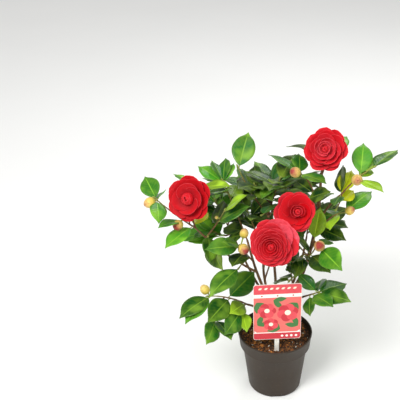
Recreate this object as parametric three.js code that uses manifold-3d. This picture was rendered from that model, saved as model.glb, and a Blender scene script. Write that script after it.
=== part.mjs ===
// Camellia shrub in flower, growing in its nursery pot, with a plain plant label.
// Millimetres, +Z up. The origin is the centre of the pot's flat underside.
// Bearings are degrees in plan: 0 is +X, 90 is +Y, away from the front. Rises are degrees above the level.

import * as THREE from "three";
import { mergeVertices } from "three/addons/utils/BufferGeometryUtils.js";
import Module from "manifold-3d";

const wasm = await Module();
wasm.setup();

// Clearance between pieces that touch
const GAP = 0.3;
// The flats of a faceted limb lie inside its circle, so the room cut for it is a little wider
const LIMB_GAP = 0.48;
const SAME_POINT = 1e-4;
const ON_AXIS = 1e-6;
// How far a mesh may be simplified: rigid pieces, and foliage with its slivers between leaves
const RIGID_COARSENESS = 0.01;
const FOLIAGE_COARSENESS = 0.03;

// Pot: a straight taper under a wider collar, on a rounded foot with four notches
const POT_HEIGHT = 131;
const RIM_RADIUS = 75;
const COLLAR_FOOT_RADIUS = 71;
const COLLAR_HEIGHT = 30;
const COLLAR_STEP = 1.5;
const LIP = 1;
const BODY_TOP_RADIUS = 65.5;
const FOOT_RADIUS = 53.5;
const FOOT_ROUNDING = 5;
const FOOT_BEVEL = 1.5;
const WALL = 2.2;
const FLOOR = 3;
const POT_SIDES = 30;
const NOTCH_WIDTH = 25;
const NOTCH_HEIGHT = 5;
const NOTCH_DEPTH = 4;
const NOTCH_BEARINGS = [-82, 8, 98, 188];
const DRAIN_RADIUS = 4.5;
const DRAIN_CIRCLE = 30;
const DRAIN_COUNT = 6;
const DRAIN_SIDES = 8;
const MIX_TOP = 123;

// Plant label: a card on a flat stick pushed into the potting mix
const CARD_WIDTH = 92;
const CARD_HEIGHT = 128;
const CARD_THICKNESS = 1;
const CARD_CORNER = 5;
const CARD_FOOT = 152;
const CARD_PLACE = new THREE.Vector2(4, -56);
const CARD_TURN = 7;
const STICK_WIDTH = 9;
const STICK_THICKNESS = 1.6;
const STICK_FOOT = 78;
const STICK_TOP = 205;
const STICK_CORNER = 3.6;

// Leaves: a short stalk, then a folded, drooping blade that is widest near its middle
const STALK_LENGTH = 7;
const STALK_HALF_WIDTH = 1.3;
const ROOT_SUNK = 1.5;
const LAST_ROOT = 0.96;
const LEAF_SLIMNESS = 0.53;
const LEAF_FOLD = 0.12;
const LEAF_DROOP = 0.1;
const LEAF_THICKNESS = 1.1;
const LEAF_STATIONS = [0.2, 0.5, 0.8];
const TWIG_RADII = [1.7, 1.1];
const TWIG_SIDES = 3;
const LIMB_STEP = 26;
const TRUNK_SIDES = 10;
const BOUGH_SIDES = 6;
const BLOOM_TWIG_SIDES = 5;
// Share of a path over which its direction is taken
const NEARBY = 0.05;

// Growth rule: leaves set round a shoot by the golden angle, opening less towards its tip
const FIRST_SEED = 1000;
const BARE_SHARE = 0.3;
const GOLDEN_ANGLE = 137.5;
const RETRY_ANGLE = 75;
const RETRIES = 5;
const OPENING = [68, 34];
const OPENING_SPREAD = 12;
const LEVELLING = 0.7;
const STEEPEST = 25;
const ROLL_SPREAD = 50;
const RULED_LENGTH = [60, 78];

// Least distances between the sample points of leaves of two masses, of one mass, and of a leaf and a limb
const LEAF_CLEAR = 5.5;
const OWN_LEAF_CLEAR = 2.5;
const LIMB_CLEAR = 3.5;
const CARD_CLEAR = 4;
const SAMPLE_STEP = 5;
const SHADED_SHARE = 0.3;
const SAMPLE_SHARES = [0.04, 0.16, 0.28, 0.4, 0.52, 0.64, 0.76, 0.88, 1];
const SAMPLE_ACROSS = [-0.9, -0.45, 0, 0.45, 0.9];

// Blossoms: how deep the cup is behind the rim, and rings of petals from the rim inwards
// (number, reach as a share of the radius, height before the rim)
const CUP_DEPTH = 18;
const PETAL_RINGS = [
  [6, 1, -3],
  [5, 0.74, 6],
  [4, 0.46, 11],
];
const FACES_PER_PETAL = 4;
const PETAL_DIP = 0.42;
const PETAL_THICKNESS = 1.4;
const BELLY_REACH = 0.62;
const BELLY_RISE = 0.3;
const HEART = { radius: 9, stretch: 1.6, setBack: 4 };
const CALYX = { radius: 8, stretch: 0.8 };
const BALL_SIDES = 6;
// Room kept round a blossom: beside it, before its rim, behind its cup, and how far that rises to the rim
const BLOSSOM_ROOM = { beside: 3, before: 18, behind: 9, rise: 15 };

const BUD_LENGTHENING = 1.15;
const BUD_SIDES = 6;
const BUD_ON_STALK = 0.6;

// Limbs: parent, place along it, a point halfway, the tip, and radii at foot and tip
const TRUNK = { through: [1, 3, 150], tip: [3, 5, 176], radii: [6.5, 5.2] };
const TRUNK_SUNK = 4;
const ROOT_FLARE = 4.5;
const FLARE_FALL = 4;
const BOUGHS = {
  bough_right: { on: "trunk", at: 0.96, through: [62, 10, 300], tip: [80, 20, 476], radii: [4.6, 2.6] },
  bough_left: { on: "trunk", at: 0.9, through: [-30, 2, 248], tip: [-55, 2, 340], radii: [3.4, 2.2] },
  bough_centre: { on: "trunk", at: 0.84, through: [-24, 9, 269], tip: [-15, 20, 390], radii: [2.9, 1.9] },
  bough_far_left: {
    on: "bough_left", at: 0.62, through: [-97, -8, 317],
    tip: [-153, -10, 373], radii: [2.2, 1.8],
  },
  bough_lower_left: { on: "trunk", at: 0.55, through: [-24, -10, 188], tip: [-55, -22, 208], radii: [3, 2] },
  bough_lower_right: {
    on: "trunk", at: 0.7, through: [30, -10, 205],
    tip: [60, -22, 232], radii: [2.8, 1.9],
  },
  bough_right_side: {
    on: "bough_right", at: 0.72, through: [98, 9, 417],
    tip: [117, 0, 442], radii: [2.4, 1.8],
  },
  bough_right_front: {
    on: "bough_right", at: 0.56, through: [70, -8, 338],
    tip: [70, -22, 356], radii: [2.1, 1.7],
  },
  bough_back: { on: "trunk", at: 0.9, through: [-3, 50, 260], tip: [-10, 85, 375], radii: [3.2, 2] },
  bough_back_left: {
    on: "trunk", at: 0.72, through: [-45, 42, 232],
    tip: [-85, 65, 310], radii: [2.8, 1.9],
  },
  bough_back_right: {
    on: "trunk", at: 0.78, through: [40, 45, 232],
    tip: [60, 75, 305], radii: [2.8, 1.9],
  },
};

// Flowering twigs: parent, place along it, a point halfway, the blossom's centre, heading and radius
const BLOOMS = {
  bloom_top: {
    on: "bough_right", at: 0.995, through: [84, 18, 498],
    centre: [85, 0, 534], face: [-100, 28], radius: 40,
  },
  bloom_left: {
    on: "bough_far_left", at: 0.99, through: [-160, -10, 408],
    centre: [-162, -40, 451], face: [-104, 24], radius: 43,
  },
  bloom_front: {
    on: "bough_centre", at: 0.5, through: [-16, -25, 335],
    centre: [-4, -95, 393], face: [-98, 20], radius: 45,
  },
  bloom_upper: {
    on: "bough_centre", at: 0.93, through: [0, 10, 408],
    centre: [33, -50, 433], face: [-84, 30], radius: 38.5,
  },
};

// Foliage masses: where the stem grows from, a point halfway, its tip, and its side shoots along it.
// Leaves set one by one are [place along the shoot, bearing, rise, length, roll], and the others are a
// number that follow the growth rule from a first angle. Buds are [place, bearing, rise, stalk, radius].
const MASSES = {
  foliage_far_left: {
    on: "bough_far_left", at: 1, through: [-190, -15, 405], tip: [-224, -20, 440],
    leaves: [
      [1, 118, 18, 72, -20], [0.97, -78, -12, 60, -15], [0.98, 83, -3, 50, -35],
      [0.06, -127, -4, 76, -5], [0.3, -135, 12, 60, 5], [0.06, 72, 7, 64, 5],
    ],
    buds: [[1, 200, -15, 8, 10], [0.3, -114, -7, 13, 9.5]],
    shoots: [
      {
        at: 0.14, through: [-160, 4, 415], tip: [-148, 8, 452],
        leaves: [[1, -23, 20, 72, 5], [0.9, 136, 18, 62, 20]],
      },
    ],
  },
  foliage_left_inner: {
    on: "bough_far_left", at: 0.82, through: [-112, -10, 383], tip: [-97, -12, 412],
    leaves: [
      [0.55, -17, 41, 78, 25], [1, -25, 49, 66, 20], [0.4, 78, 27, 70, -35],
      [0.06, -66, -30, 76, 60], [0.1, -81, -15, 66, -35],
    ],
    buds: [[0.7, 190, 20, 5, 3]],
  },
  foliage_upper_left: {
    on: "bough_left", at: 1, through: [-78, 16, 398], tip: [-101, 14, 461],
    leaves: [
      [1, 141, 18, 68, -5], [1, 93, 26, 64, -35], [0.97, 115, 26, 62, 30], [0.95, 135, -3, 60, 10],
      [0.8, 143, -15, 62, -10], [0.95, 75, -30, 42, 40], [0.7, 77, 2, 64, 10], [0.15, 134, -13, 66, -25],
      [0.1, 145, -28, 56, -40], [0.3, 106, 3, 62, 20],
    ],
    ruled: 2, first: 200,
  },
  foliage_top: {
    on: "bough_centre", at: 0.98, through: [-51, 30, 434], tip: [-73, 30, 482],
    leaves: [[0.97, 76, 42, 80, 15], [0.5, 102, 19, 62, 40], [0.4, 117, 12, 66, 10]],
  },
  foliage_centre: {
    on: "bough_centre", at: 1, through: [-6, 22, 425], tip: [5, 22, 462],
    leaves: [
      [1, 84, -10, 60, -35], [0.6, 83, 11, 60, -50], [0.95, -122, -2, 64, 15],
      [0.5, 66, -5, 60, -5],
    ],
    ruled: 5, first: 90,
    shoots: [
      {
        at: 0.3, through: [-30, 22, 430], tip: [-41, 20, 450],
        leaves: [[1, -61, 5, 66, 15]], ruled: 2, first: 0,
      },
      {
        at: 0.1, through: [-18, -5, 405], tip: [-27, -30, 414],
        leaves: [[1, 67, 0, 60, -20]],
      },
    ],
  },
  foliage_inner: {
    on: "bough_centre", at: 0.72, through: [-40, 24, 350], tip: [-55, 32, 385],
    ruled: 5, first: 85,
  },
  foliage_front_left: {
    on: "bough_left", at: 0.75, through: [-56, -28, 329], tip: [-66, -55, 363],
    leaves: [[1, -150, 15, 72, -30], [1, -136, 37, 48, -25], [0.6, -107, 12, 66, 0]],
    buds: [[1, 60, 60, 20, 8], [1, -60, 0, 6, 10]],
    shoots: [
      { at: 0.25, through: [-60, -30, 312], tip: [-69, -50, 311], leaves: [[1, -129, -9, 86, -5]] },
    ],
  },
  foliage_lower_left: {
    on: "bough_lower_left", at: 1, through: [-92, -32, 230], tip: [-128, -40, 238],
    leaves: [
      [1, -135, -3, 80, -5], [0.97, -126, -8, 80, 5], [0.5, 52, 15, 88, 40], [0.45, -116, 2, 82, -30],
      [0.05, -112, 20, 64, -35],
    ],
    buds: [[1, 165, 50, 12, 9]],
    shoots: [
      {
        at: 0.6, through: [-108, -45, 212], tip: [-116, -58, 194],
        leaves: [[1, -98, -4, 66, -40], [1, -56, 1, 66, -15]],
      },
      {
        at: 0.05, through: [-62, -30, 206], tip: [-66, -42, 205],
        leaves: [[1, -109, 3, 76, -40], [0.8, -78, -12, 52, 5]],
      },
    ],
  },
  foliage_lower_right: {
    on: "bough_lower_right", at: 1, through: [70, -26, 239], tip: [81, -30, 246],
    leaves: [
      [1, 150, 35, 52, -45], [1, 81, -3, 62, -30], [1, 37, -1, 74, 5], [1, -35, 12, 72, 25],
      [0.5, -56, 14, 66, 15], [0.3, -94, -14, 50, 30],
    ],
  },
  foliage_right_mid: {
    on: "bough_right_front", at: 1, through: [78, -28, 352], tip: [82, -36, 348],
    leaves: [[0, 70, 68, 64, 10], [1, -67, 5, 80, 35], [0.5, 54, -14, 50, 5]],
    buds: [[0.8, -95, 37, 13, 10]],
    shoots: [
      {
        at: 0.1, through: [72, -20, 338], tip: [64, -20, 324],
        leaves: [[1, -65, 7, 74, 20], [1, 125, 25, 60, 30]],
      },
    ],
  },
  foliage_right_edge: {
    on: "bough_right", at: 0.66, through: [102, 12, 388], tip: [128, -5, 408],
    leaves: [[1, 45, 20, 76, 5], [0.6, 102, -12, 56, 10], [0.7, -109, 3, 58, 35]],
    buds: [[1, 0, 30, 5, 8]],
  },
  foliage_right: {
    on: "bough_right_side", at: 1, through: [140, 0, 472], tip: [172, 0, 499],
    leaves: [
      [0, 67, 27, 64, 0], [0, 90, 30, 70, -60], [0.66, 80, 34, 76, 5], [1, 47, 14, 76, -15],
      [0.6, 52, 1, 50, 5], [0.55, -45, 3, 62, -5], [0.8, 65, 6, 60, -25], [0, -108, 10, 50, 15],
    ],
    buds: [[0.55, -90, 20, 5, 10]],
    shoots: [
      { at: 0.02, through: [115, -5, 430], tip: [110, -8, 418], leaves: [[0.5, 53, 8, 50, 30]] },
    ],
  },
  foliage_crown_right: {
    on: "bough_right", at: 0.97, through: [88, 32, 490], tip: [92, 40, 510],
    leaves: [[1, 176, 14, 76, 15], [0.8, 140, 8, 70, 10], [1, 55, 10, 74, 10], [0.7, 100, 10, 66, 0]],
  },
  foliage_crown_left: {
    on: "bough_right", at: 0.82, through: [58, 12, 462], tip: [36, 2, 486],
    leaves: [[1, 136, 16, 76, 20], [0.9, 88, 17, 62, 20], [0.9, -45, 10, 66, 0], [0.25, 128, 5, 62, -25]],
    buds: [[1, 230, 30, 4, 9.5]],
    shoots: [
      { at: 0, through: [66, 10, 421], tip: [54, 5, 430], leaves: [[1, -42, 36, 60, 45]] },
    ],
  },
  foliage_sprig: {
    on: "bough_right", at: 0.33, through: [42, 3, 264], tip: [28, -8, 258],
    leaves: [[1, 144, -25, 50, 0], [0.7, 141, -21, 40, 0], [0.6, 115, -4, 40, 15]],
  },
  foliage_low_back: {
    on: "bough_back_right", at: 0.4, through: [28, 48, 255], tip: [20, 68, 285],
    ruled: 6, first: 20,
  },
  foliage_back: {
    on: "bough_back", at: 1, through: [-12, 98, 395], tip: [-12, 112, 412],
    ruled: 6, first: 10,
    shoots: [
      { at: 0.1, through: [-30, 110, 385], tip: [-52, 125, 392], ruled: 5, first: 0 },
      { at: 0.3, through: [15, 118, 395], tip: [35, 132, 400], ruled: 5, first: 120 },
    ],
  },
  foliage_back_left: {
    on: "bough_back_left", at: 1, through: [-105, 80, 345], tip: [-122, 90, 378],
    ruled: 6, first: 50,
    shoots: [
      { at: 0.1, through: [-105, 55, 318], tip: [-125, 50, 330], ruled: 5, first: 0 },
      { at: 0.3, through: [-90, 100, 345], tip: [-88, 120, 362], ruled: 5, first: 80 },
    ],
  },
  foliage_back_right: {
    on: "bough_back_right", at: 1, through: [62, 90, 345], tip: [55, 100, 380],
    ruled: 6, first: 140,
    shoots: [
      { at: 0.1, through: [75, 78, 325], tip: [88, 75, 340], ruled: 5, first: 30 },
      { at: 0.3, through: [50, 110, 345], tip: [40, 130, 355], ruled: 5, first: 200 },
    ],
  },
};

const POT_PLASTIC = new THREE.MeshStandardMaterial({ color: 0x4f463c, roughness: 0.55, metalness: 0 });
const BARK_MIX = new THREE.MeshStandardMaterial({ color: 0x4a2c14, roughness: 0.95, metalness: 0 });
const CARD = new THREE.MeshStandardMaterial({ color: 0xf2675f, roughness: 0.4, metalness: 0 });
const WHITE_PLASTIC = new THREE.MeshStandardMaterial({ color: 0xe9e6dc, roughness: 0.5, metalness: 0 });
const BARK = new THREE.MeshStandardMaterial({ color: 0x6a4426, roughness: 0.85, metalness: 0 });
const LEAF = new THREE.MeshStandardMaterial({ color: 0x3c8a32, roughness: 0.35, metalness: 0 });
const PETAL = new THREE.MeshStandardMaterial({ color: 0xd8202c, roughness: 0.5, metalness: 0 });

const camellia = new THREE.Group();
const radians = THREE.MathUtils.degToRad;
const mix = THREE.MathUtils.lerp;

// Repeatable random numbers from 0 to 1
function seededRandom(seed) {
  let state = seed;
  return () => {
    state = (state * 1664525 + 1013904223) % 4294967296;
    return state / 4294967296;
  };
}

// Unit vector of a bearing and a rise
function heading([bearing, rise]) {
  const level = Math.cos(radians(rise));
  return new THREE.Vector3(
    level * Math.cos(radians(bearing)),
    level * Math.sin(radians(bearing)),
    Math.sin(radians(rise)),
  );
}

// A closed three.js geometry as a solid that can be joined and cut
function solidOf(geometry) {
  geometry.deleteAttribute("normal");
  geometry.deleteAttribute("uv");
  const merged = mergeVertices(geometry, SAME_POINT);
  return new wasm.Manifold(new wasm.Mesh({
    numProp: 3,
    vertProperties: new Float32Array(merged.getAttribute("position").array),
    triVerts: new Uint32Array(merged.getIndex().array),
  }));
}

// The largest body of a solid, as a named mesh of the model
function addMesh(name, solid, material, coarseness = RIGID_COARSENESS) {
  const bodies = solid.decompose().sort((a, b) => b.volume() - a.volume());
  const mesh = bodies[0].simplify(coarseness).getMesh();
  const geometry = new THREE.BufferGeometry();
  geometry.setAttribute("position", new THREE.BufferAttribute(mesh.vertProperties, 3));
  geometry.setIndex(new THREE.BufferAttribute(mesh.triVerts, 1));
  geometry.computeVertexNormals();
  const piece = new THREE.Mesh(geometry, material);
  piece.name = name;
  camellia.add(piece);
}

// Points of a limb that grows in one bend from its start, through a point halfway, to its tip
function limbPath(start, { through, tip }) {
  const end = new THREE.Vector3(...tip);
  const bend = new THREE.Vector3(...through).multiplyScalar(2);
  bend.addScaledVector(start, -0.5).addScaledVector(end, -0.5);
  const steps = Math.max(2, Math.round(start.distanceTo(end) / LIMB_STEP));
  return new THREE.QuadraticBezierCurve3(start, bend, end).getPoints(steps);
}

// The point at a share of a path whose steps are equal
function pointOn(path, share) {
  const place = THREE.MathUtils.clamp(share, 0, 1) * (path.length - 1);
  const step = Math.min(Math.floor(place), path.length - 2);
  return path[step].clone().lerp(path[step + 1], place - step);
}

// The direction of a path near a share of it
function wayOn(path, share) {
  return pointOn(path, share + NEARBY).sub(pointOn(path, share - NEARBY)).normalize();
}

// A tapering round limb: an upright cylinder carried on to the path
function limbSolid(path, radiusAt, sides) {
  const steps = path.length - 1;
  const geometry = new THREE.CylinderGeometry(1, 1, 1, sides, steps);
  const across = path.map((point, i) => {
    const way = path[Math.min(i + 1, steps)].clone().sub(path[Math.max(i - 1, 0)]).normalize();
    const side = new THREE.Vector3(0, 1, 0).addScaledVector(way, -way.y).normalize();
    return { side, other: new THREE.Vector3().crossVectors(side, way) };
  });
  const place = geometry.getAttribute("position");
  for (let v = 0; v < place.count; v += 1) {
    const ring = Math.round((place.getY(v) + 0.5) * steps);
    const radius = radiusAt(ring / steps);
    const point = path[ring].clone();
    point.addScaledVector(across[ring].side, place.getX(v) * radius);
    point.addScaledVector(across[ring].other, place.getZ(v) * radius);
    place.setXYZ(v, point.x, point.y, point.z);
  }
  return solidOf(geometry);
}

// A thin folded blade: a four-sided ball whose rings are carried to stations [length, half width, lift]
function bladeSolid({ root, along, side, face }, stations, fold, thickness) {
  const last = stations.length - 1;
  const geometry = new THREE.SphereGeometry(1, 4, last);
  const place = geometry.getAttribute("position");
  for (let v = 0; v < place.count; v += 1) {
    const ring = Math.round(Math.acos(THREE.MathUtils.clamp(place.getY(v), -1, 1)) / Math.PI * last);
    const [reach, halfWidth, lift] = stations[ring];
    const atPole = ring === 0 || ring === last;
    const sideways = atPole || Math.abs(place.getX(v)) < ON_AXIS ? 0 : -Math.sign(place.getX(v));
    const upwards = atPole || Math.abs(place.getZ(v)) < ON_AXIS ? 0 : Math.sign(place.getZ(v));
    const point = root.clone().addScaledVector(along, reach);
    point.addScaledVector(side, sideways * halfWidth);
    point.addScaledVector(face, lift + Math.abs(sideways) * fold * halfWidth + upwards * thickness / 2);
    place.setXYZ(v, point.x, point.y, point.z);
  }
  return solidOf(geometry);
}

// Half width of a leaf blade at a share of its length, as a share of the widest
function leafOutline(share) {
  return Math.sin(Math.PI * share ** 0.88) ** 0.85;
}

// A leaf's place: its root on the twig, its heading, and its roll about the midrib
function makeLeaf(root, bearing, rise, length, roll) {
  const along = heading([bearing, rise]);
  const level = new THREE.Vector3(Math.sin(radians(bearing)), -Math.cos(radians(bearing)), 0);
  const upright = new THREE.Vector3().crossVectors(level, along);
  const turn = radians(roll);
  const side = level.clone().multiplyScalar(Math.cos(turn)).addScaledVector(upright, -Math.sin(turn));
  const face = upright.clone().multiplyScalar(Math.cos(turn)).addScaledVector(level, Math.sin(turn));
  return { root, along, side, face, length, width: length * LEAF_SLIMNESS };
}

// Where a leaf or bud roots at a share of its shoot, never at the very end
function rootOn(path, share) {
  return pointOn(path, Math.min(share, LAST_ROOT));
}

// A point of a leaf's blade: share of its length, and from -1 to 1 across
function leafPoint(leaf, share, across) {
  const blade = leaf.length - STALK_LENGTH;
  const halfWidth = leaf.width / 2 * leafOutline(share);
  return leaf.root.clone()
    .addScaledVector(leaf.along, STALK_LENGTH + share * blade)
    .addScaledVector(leaf.side, across * halfWidth)
    .addScaledVector(leaf.face, Math.abs(across) * LEAF_FOLD * halfWidth)
    .addScaledVector(leaf.face, -LEAF_DROOP * blade * share * share);
}

function leafSolid(leaf) {
  const blade = leaf.length - STALK_LENGTH;
  const stations = [[-ROOT_SUNK, 0, 0], [STALK_LENGTH, STALK_HALF_WIDTH, 0]];
  for (const share of LEAF_STATIONS) {
    const halfWidth = leaf.width / 2 * leafOutline(share);
    stations.push([STALK_LENGTH + share * blade, halfWidth, -LEAF_DROOP * blade * share * share]);
  }
  stations.push([leaf.length, 0, -LEAF_DROOP * blade]);
  return bladeSolid(leaf, stations, LEAF_FOLD, LEAF_THICKNESS);
}

// The axes of a blossom: sideways, upwards across its face, and the way it faces
function bloomFrame({ face }) {
  const front = heading(face);
  const right = new THREE.Vector3(-Math.sin(radians(face[0])), Math.cos(radians(face[0])), 0);
  return { front, right, top: new THREE.Vector3().crossVectors(front, right) };
}

// An upright geometry turned to stand along a way, and moved to a centre
function stoodAt(geometry, centre, way) {
  geometry.applyQuaternion(new THREE.Quaternion().setFromUnitVectors(new THREE.Vector3(0, 1, 0), way));
  geometry.translate(centre.x, centre.y, centre.z);
  return geometry;
}

// One ring of petals: a bowl of even thickness round the blossom's axis, whose rim dips towards its belly
// between two petals
function petalRing(bloom, [petals, reach, height]) {
  const rim = new THREE.Vector2(reach * bloom.radius, height);
  const belly = new THREE.Vector2(BELLY_REACH * rim.x, mix(-CUP_DEPTH, height, BELLY_RISE));
  const up = rim.clone().sub(belly).normalize();
  const outwards = new THREE.Vector2(up.y, -up.x).multiplyScalar(PETAL_THICKNESS);
  const profile = [
    new THREE.Vector2(0, -CUP_DEPTH - PETAL_THICKNESS),
    belly.clone().add(outwards),
    rim.clone().add(outwards),
    rim,
    belly,
    new THREE.Vector2(0, -CUP_DEPTH),
  ];
  const columns = petals * FACES_PER_PETAL;
  const geometry = new THREE.LatheGeometry(profile, columns);
  const place = geometry.getAttribute("position");
  for (let column = 0; column <= columns; column += 1) {
    const dip = PETAL_DIP * (1 - Math.abs(Math.cos(Math.PI * column / FACES_PER_PETAL)));
    for (const [rimPoint, bellyPoint] of [[2, 1], [3, 4]]) {
      const v = column * profile.length + rimPoint;
      const low = new THREE.Vector3().fromBufferAttribute(place, column * profile.length + bellyPoint);
      const point = new THREE.Vector3().fromBufferAttribute(place, v).lerp(low, dip);
      place.setXYZ(v, point.x, point.y, point.z);
    }
  }
  return solidOf(stoodAt(geometry, bloom.centre, bloom.frame.front));
}

// A ball that is stretched along its own way
function ball(centre, { radius, stretch }, way, sides) {
  const geometry = new THREE.SphereGeometry(radius, sides, sides - 2);
  geometry.scale(1, stretch, 1);
  return solidOf(stoodAt(geometry, centre, way));
}

function blossomSolid(bloom) {
  const { front } = bloom.frame;
  return wasm.Manifold.union([
    ball(bloom.centre.clone().addScaledVector(front, -CUP_DEPTH), CALYX, front, BALL_SIDES),
    ball(bloom.centre.clone().addScaledVector(front, -HEART.setBack), HEART, front, BALL_SIDES),
    ...PETAL_RINGS.map((ring) => petalRing(bloom, ring)),
  ]);
}

// Limbs and blossoms already placed, by name
const limbs = {};
const blooms = {};
// Sample points of everything placed: point, least distance, owner, and whether it is on a leaf
const occupied = [];

function occupyPath(path, radiusAt, owner) {
  const count = Math.ceil(path.length * LIMB_STEP / SAMPLE_STEP);
  for (let i = 0; i <= count; i += 1) {
    const reach = radiusAt(i / count) + LIMB_CLEAR;
    occupied.push({ point: pointOn(path, i / count), reach, owner, onLeaf: false });
  }
}

function taper([foot, tip]) {
  return (share) => mix(foot, tip, share);
}

function addLimb(name, limb, start, radiusAt) {
  const path = limbPath(start, limb);
  limbs[name] = { path, radiusAt };
  occupyPath(path, radiusAt, name);
}

// Whether a point lies in the room of a blossom, a shallow cone behind its rim and a cushion before it
function inBlossom(point, bloom) {
  const from = point.clone().sub(bloom.centre);
  const ahead = from.dot(bloom.frame.front);
  const out = Math.sqrt(Math.max(0, from.lengthSq() - ahead * ahead));
  const back = -CUP_DEPTH - BLOSSOM_ROOM.behind + BLOSSOM_ROOM.rise * out / bloom.radius;
  return out < bloom.radius + BLOSSOM_ROOM.beside && ahead < BLOSSOM_ROOM.before && ahead > back;
}

// Whether a point lies at the label's card
function atCard(point) {
  const turn = radians(CARD_TURN);
  const aside = (point.x - CARD_PLACE.x) * Math.cos(turn) + (point.y - CARD_PLACE.y) * Math.sin(turn);
  const behind = (point.y - CARD_PLACE.y) * Math.cos(turn) - (point.x - CARD_PLACE.x) * Math.sin(turn);
  const fromMiddle = Math.abs(point.z - CARD_FOOT - CARD_HEIGHT / 2);
  return Math.abs(behind) < CARD_CLEAR
    && Math.abs(aside) < CARD_WIDTH / 2 + CARD_CLEAR
    && fromMiddle < CARD_HEIGHT / 2 + CARD_CLEAR;
}

// Whether a leaf would touch a blossom, the label, anything placed of another owner or, for a leaf that
// follows the rule, a leaf of its own mass
function touches(leaf, owner, ruled) {
  for (const share of SAMPLE_SHARES) {
    for (const across of SAMPLE_ACROSS) {
      const point = leafPoint(leaf, share, across);
      if (atCard(point) || Object.values(blooms).some((bloom) => inBlossom(point, bloom))) return true;
      for (const other of occupied) {
        const own = other.owner === owner;
        if (own && (!ruled || !other.onLeaf || share < SHADED_SHARE)) continue;
        const reach = own ? OWN_LEAF_CLEAR : other.reach;
        if (point.distanceToSquared(other.point) < reach * reach) return true;
      }
    }
  }
  return false;
}

// Add a leaf to a mass and tell whether there was room for it
function addLeaf(mass, leaf, ruled) {
  if (touches(leaf, mass.name, ruled)) return false;
  for (const share of SAMPLE_SHARES) {
    for (const across of SAMPLE_ACROSS) {
      const point = leafPoint(leaf, share, across);
      occupied.push({ point, reach: LEAF_CLEAR, owner: mass.name, onLeaf: true });
    }
  }
  mass.leaves.push(leaf);
  return true;
}

// The rule for a shoot's own leaves: round it by the golden angle, opening less towards its tip, never steep
function ruledLeaf(shoot, order, random, attempt) {
  const share = mix(BARE_SHARE, 1, (order + 1) / shoot.ruled);
  const way = wayOn(shoot.path, share);
  const across = new THREE.Vector3(0, 0, 1).cross(way).normalize();
  const over = new THREE.Vector3().crossVectors(way, across);
  const turn = radians(shoot.first + order * GOLDEN_ANGLE + attempt * RETRY_ANGLE);
  const open = radians(mix(OPENING[0], OPENING[1], share) + OPENING_SPREAD * (random() - 0.5));
  const aim = way.clone().multiplyScalar(Math.cos(open))
    .addScaledVector(across, Math.cos(turn) * Math.sin(open))
    .addScaledVector(over, Math.sin(turn) * Math.sin(open));
  const bearing = THREE.MathUtils.radToDeg(Math.atan2(aim.y, aim.x));
  const rise = THREE.MathUtils.radToDeg(Math.asin(aim.z)) * LEVELLING;
  const level = THREE.MathUtils.clamp(rise, -STEEPEST, STEEPEST);
  const length = mix(RULED_LENGTH[0], RULED_LENGTH[1], random());
  const roll = ROLL_SPREAD * (random() - 0.5);
  return makeLeaf(rootOn(shoot.path, share), bearing, level, length, roll);
}

// Pot, with its collar, notched foot and drain holes
function potSolid() {
  const step = POT_HEIGHT - COLLAR_HEIGHT;
  const profile = [
    [0, 0],
    [FOOT_RADIUS - FOOT_ROUNDING, 0],
    [FOOT_RADIUS - FOOT_BEVEL, FOOT_BEVEL],
    [FOOT_RADIUS, FOOT_ROUNDING],
    [BODY_TOP_RADIUS, step],
    [COLLAR_FOOT_RADIUS, step + COLLAR_STEP],
    [RIM_RADIUS - LIP, POT_HEIGHT - 4 * LIP],
    [RIM_RADIUS, POT_HEIGHT - 2 * LIP],
    [RIM_RADIUS - LIP / 2, POT_HEIGHT],
    [RIM_RADIUS - WALL, POT_HEIGHT],
    [COLLAR_FOOT_RADIUS - WALL, step + 2 * COLLAR_STEP],
    [BODY_TOP_RADIUS - WALL, step + COLLAR_STEP],
    [FOOT_RADIUS - WALL, FLOOR],
    [0, FLOOR],
  ].map(([r, z]) => new THREE.Vector2(r, z));
  const geometry = new THREE.LatheGeometry(profile, POT_SIDES);
  geometry.rotateX(Math.PI / 2);
  let pot = solidOf(geometry);
  for (const bearing of NOTCH_BEARINGS) {
    const notch = new THREE.BoxGeometry(2 * NOTCH_DEPTH, NOTCH_WIDTH, 2 * NOTCH_HEIGHT);
    notch.translate(FOOT_RADIUS, 0, 0);
    notch.rotateZ(radians(bearing));
    pot = pot.subtract(solidOf(notch));
  }
  for (let i = 0; i < DRAIN_COUNT; i += 1) {
    const hole = new THREE.CylinderGeometry(DRAIN_RADIUS, DRAIN_RADIUS, 4 * FLOOR, DRAIN_SIDES);
    hole.rotateX(Math.PI / 2);
    hole.translate(DRAIN_CIRCLE, 0, 0);
    hole.rotateZ(i * 2 * Math.PI / DRAIN_COUNT);
    pot = pot.subtract(solidOf(hole));
  }
  return pot;
}

// Potting mix, filling the pot to just under its rim
function mixSolid() {
  const step = POT_HEIGHT - COLLAR_HEIGHT;
  const room = WALL + 1.5 * GAP;
  const corner = step + 4 * COLLAR_STEP;
  const slope = (RIM_RADIUS - COLLAR_FOOT_RADIUS) / COLLAR_HEIGHT;
  const profile = [
    [0, FLOOR + GAP],
    [FOOT_RADIUS - room, FLOOR + GAP],
    [BODY_TOP_RADIUS - room, step + 2 * COLLAR_STEP],
    [COLLAR_FOOT_RADIUS - room, corner],
    [COLLAR_FOOT_RADIUS - room + slope * (MIX_TOP - corner), MIX_TOP],
    [0, MIX_TOP],
  ].map(([r, z]) => new THREE.Vector2(r, z));
  const geometry = new THREE.LatheGeometry(profile, POT_SIDES);
  geometry.rotateX(Math.PI / 2);
  return solidOf(geometry);
}

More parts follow.
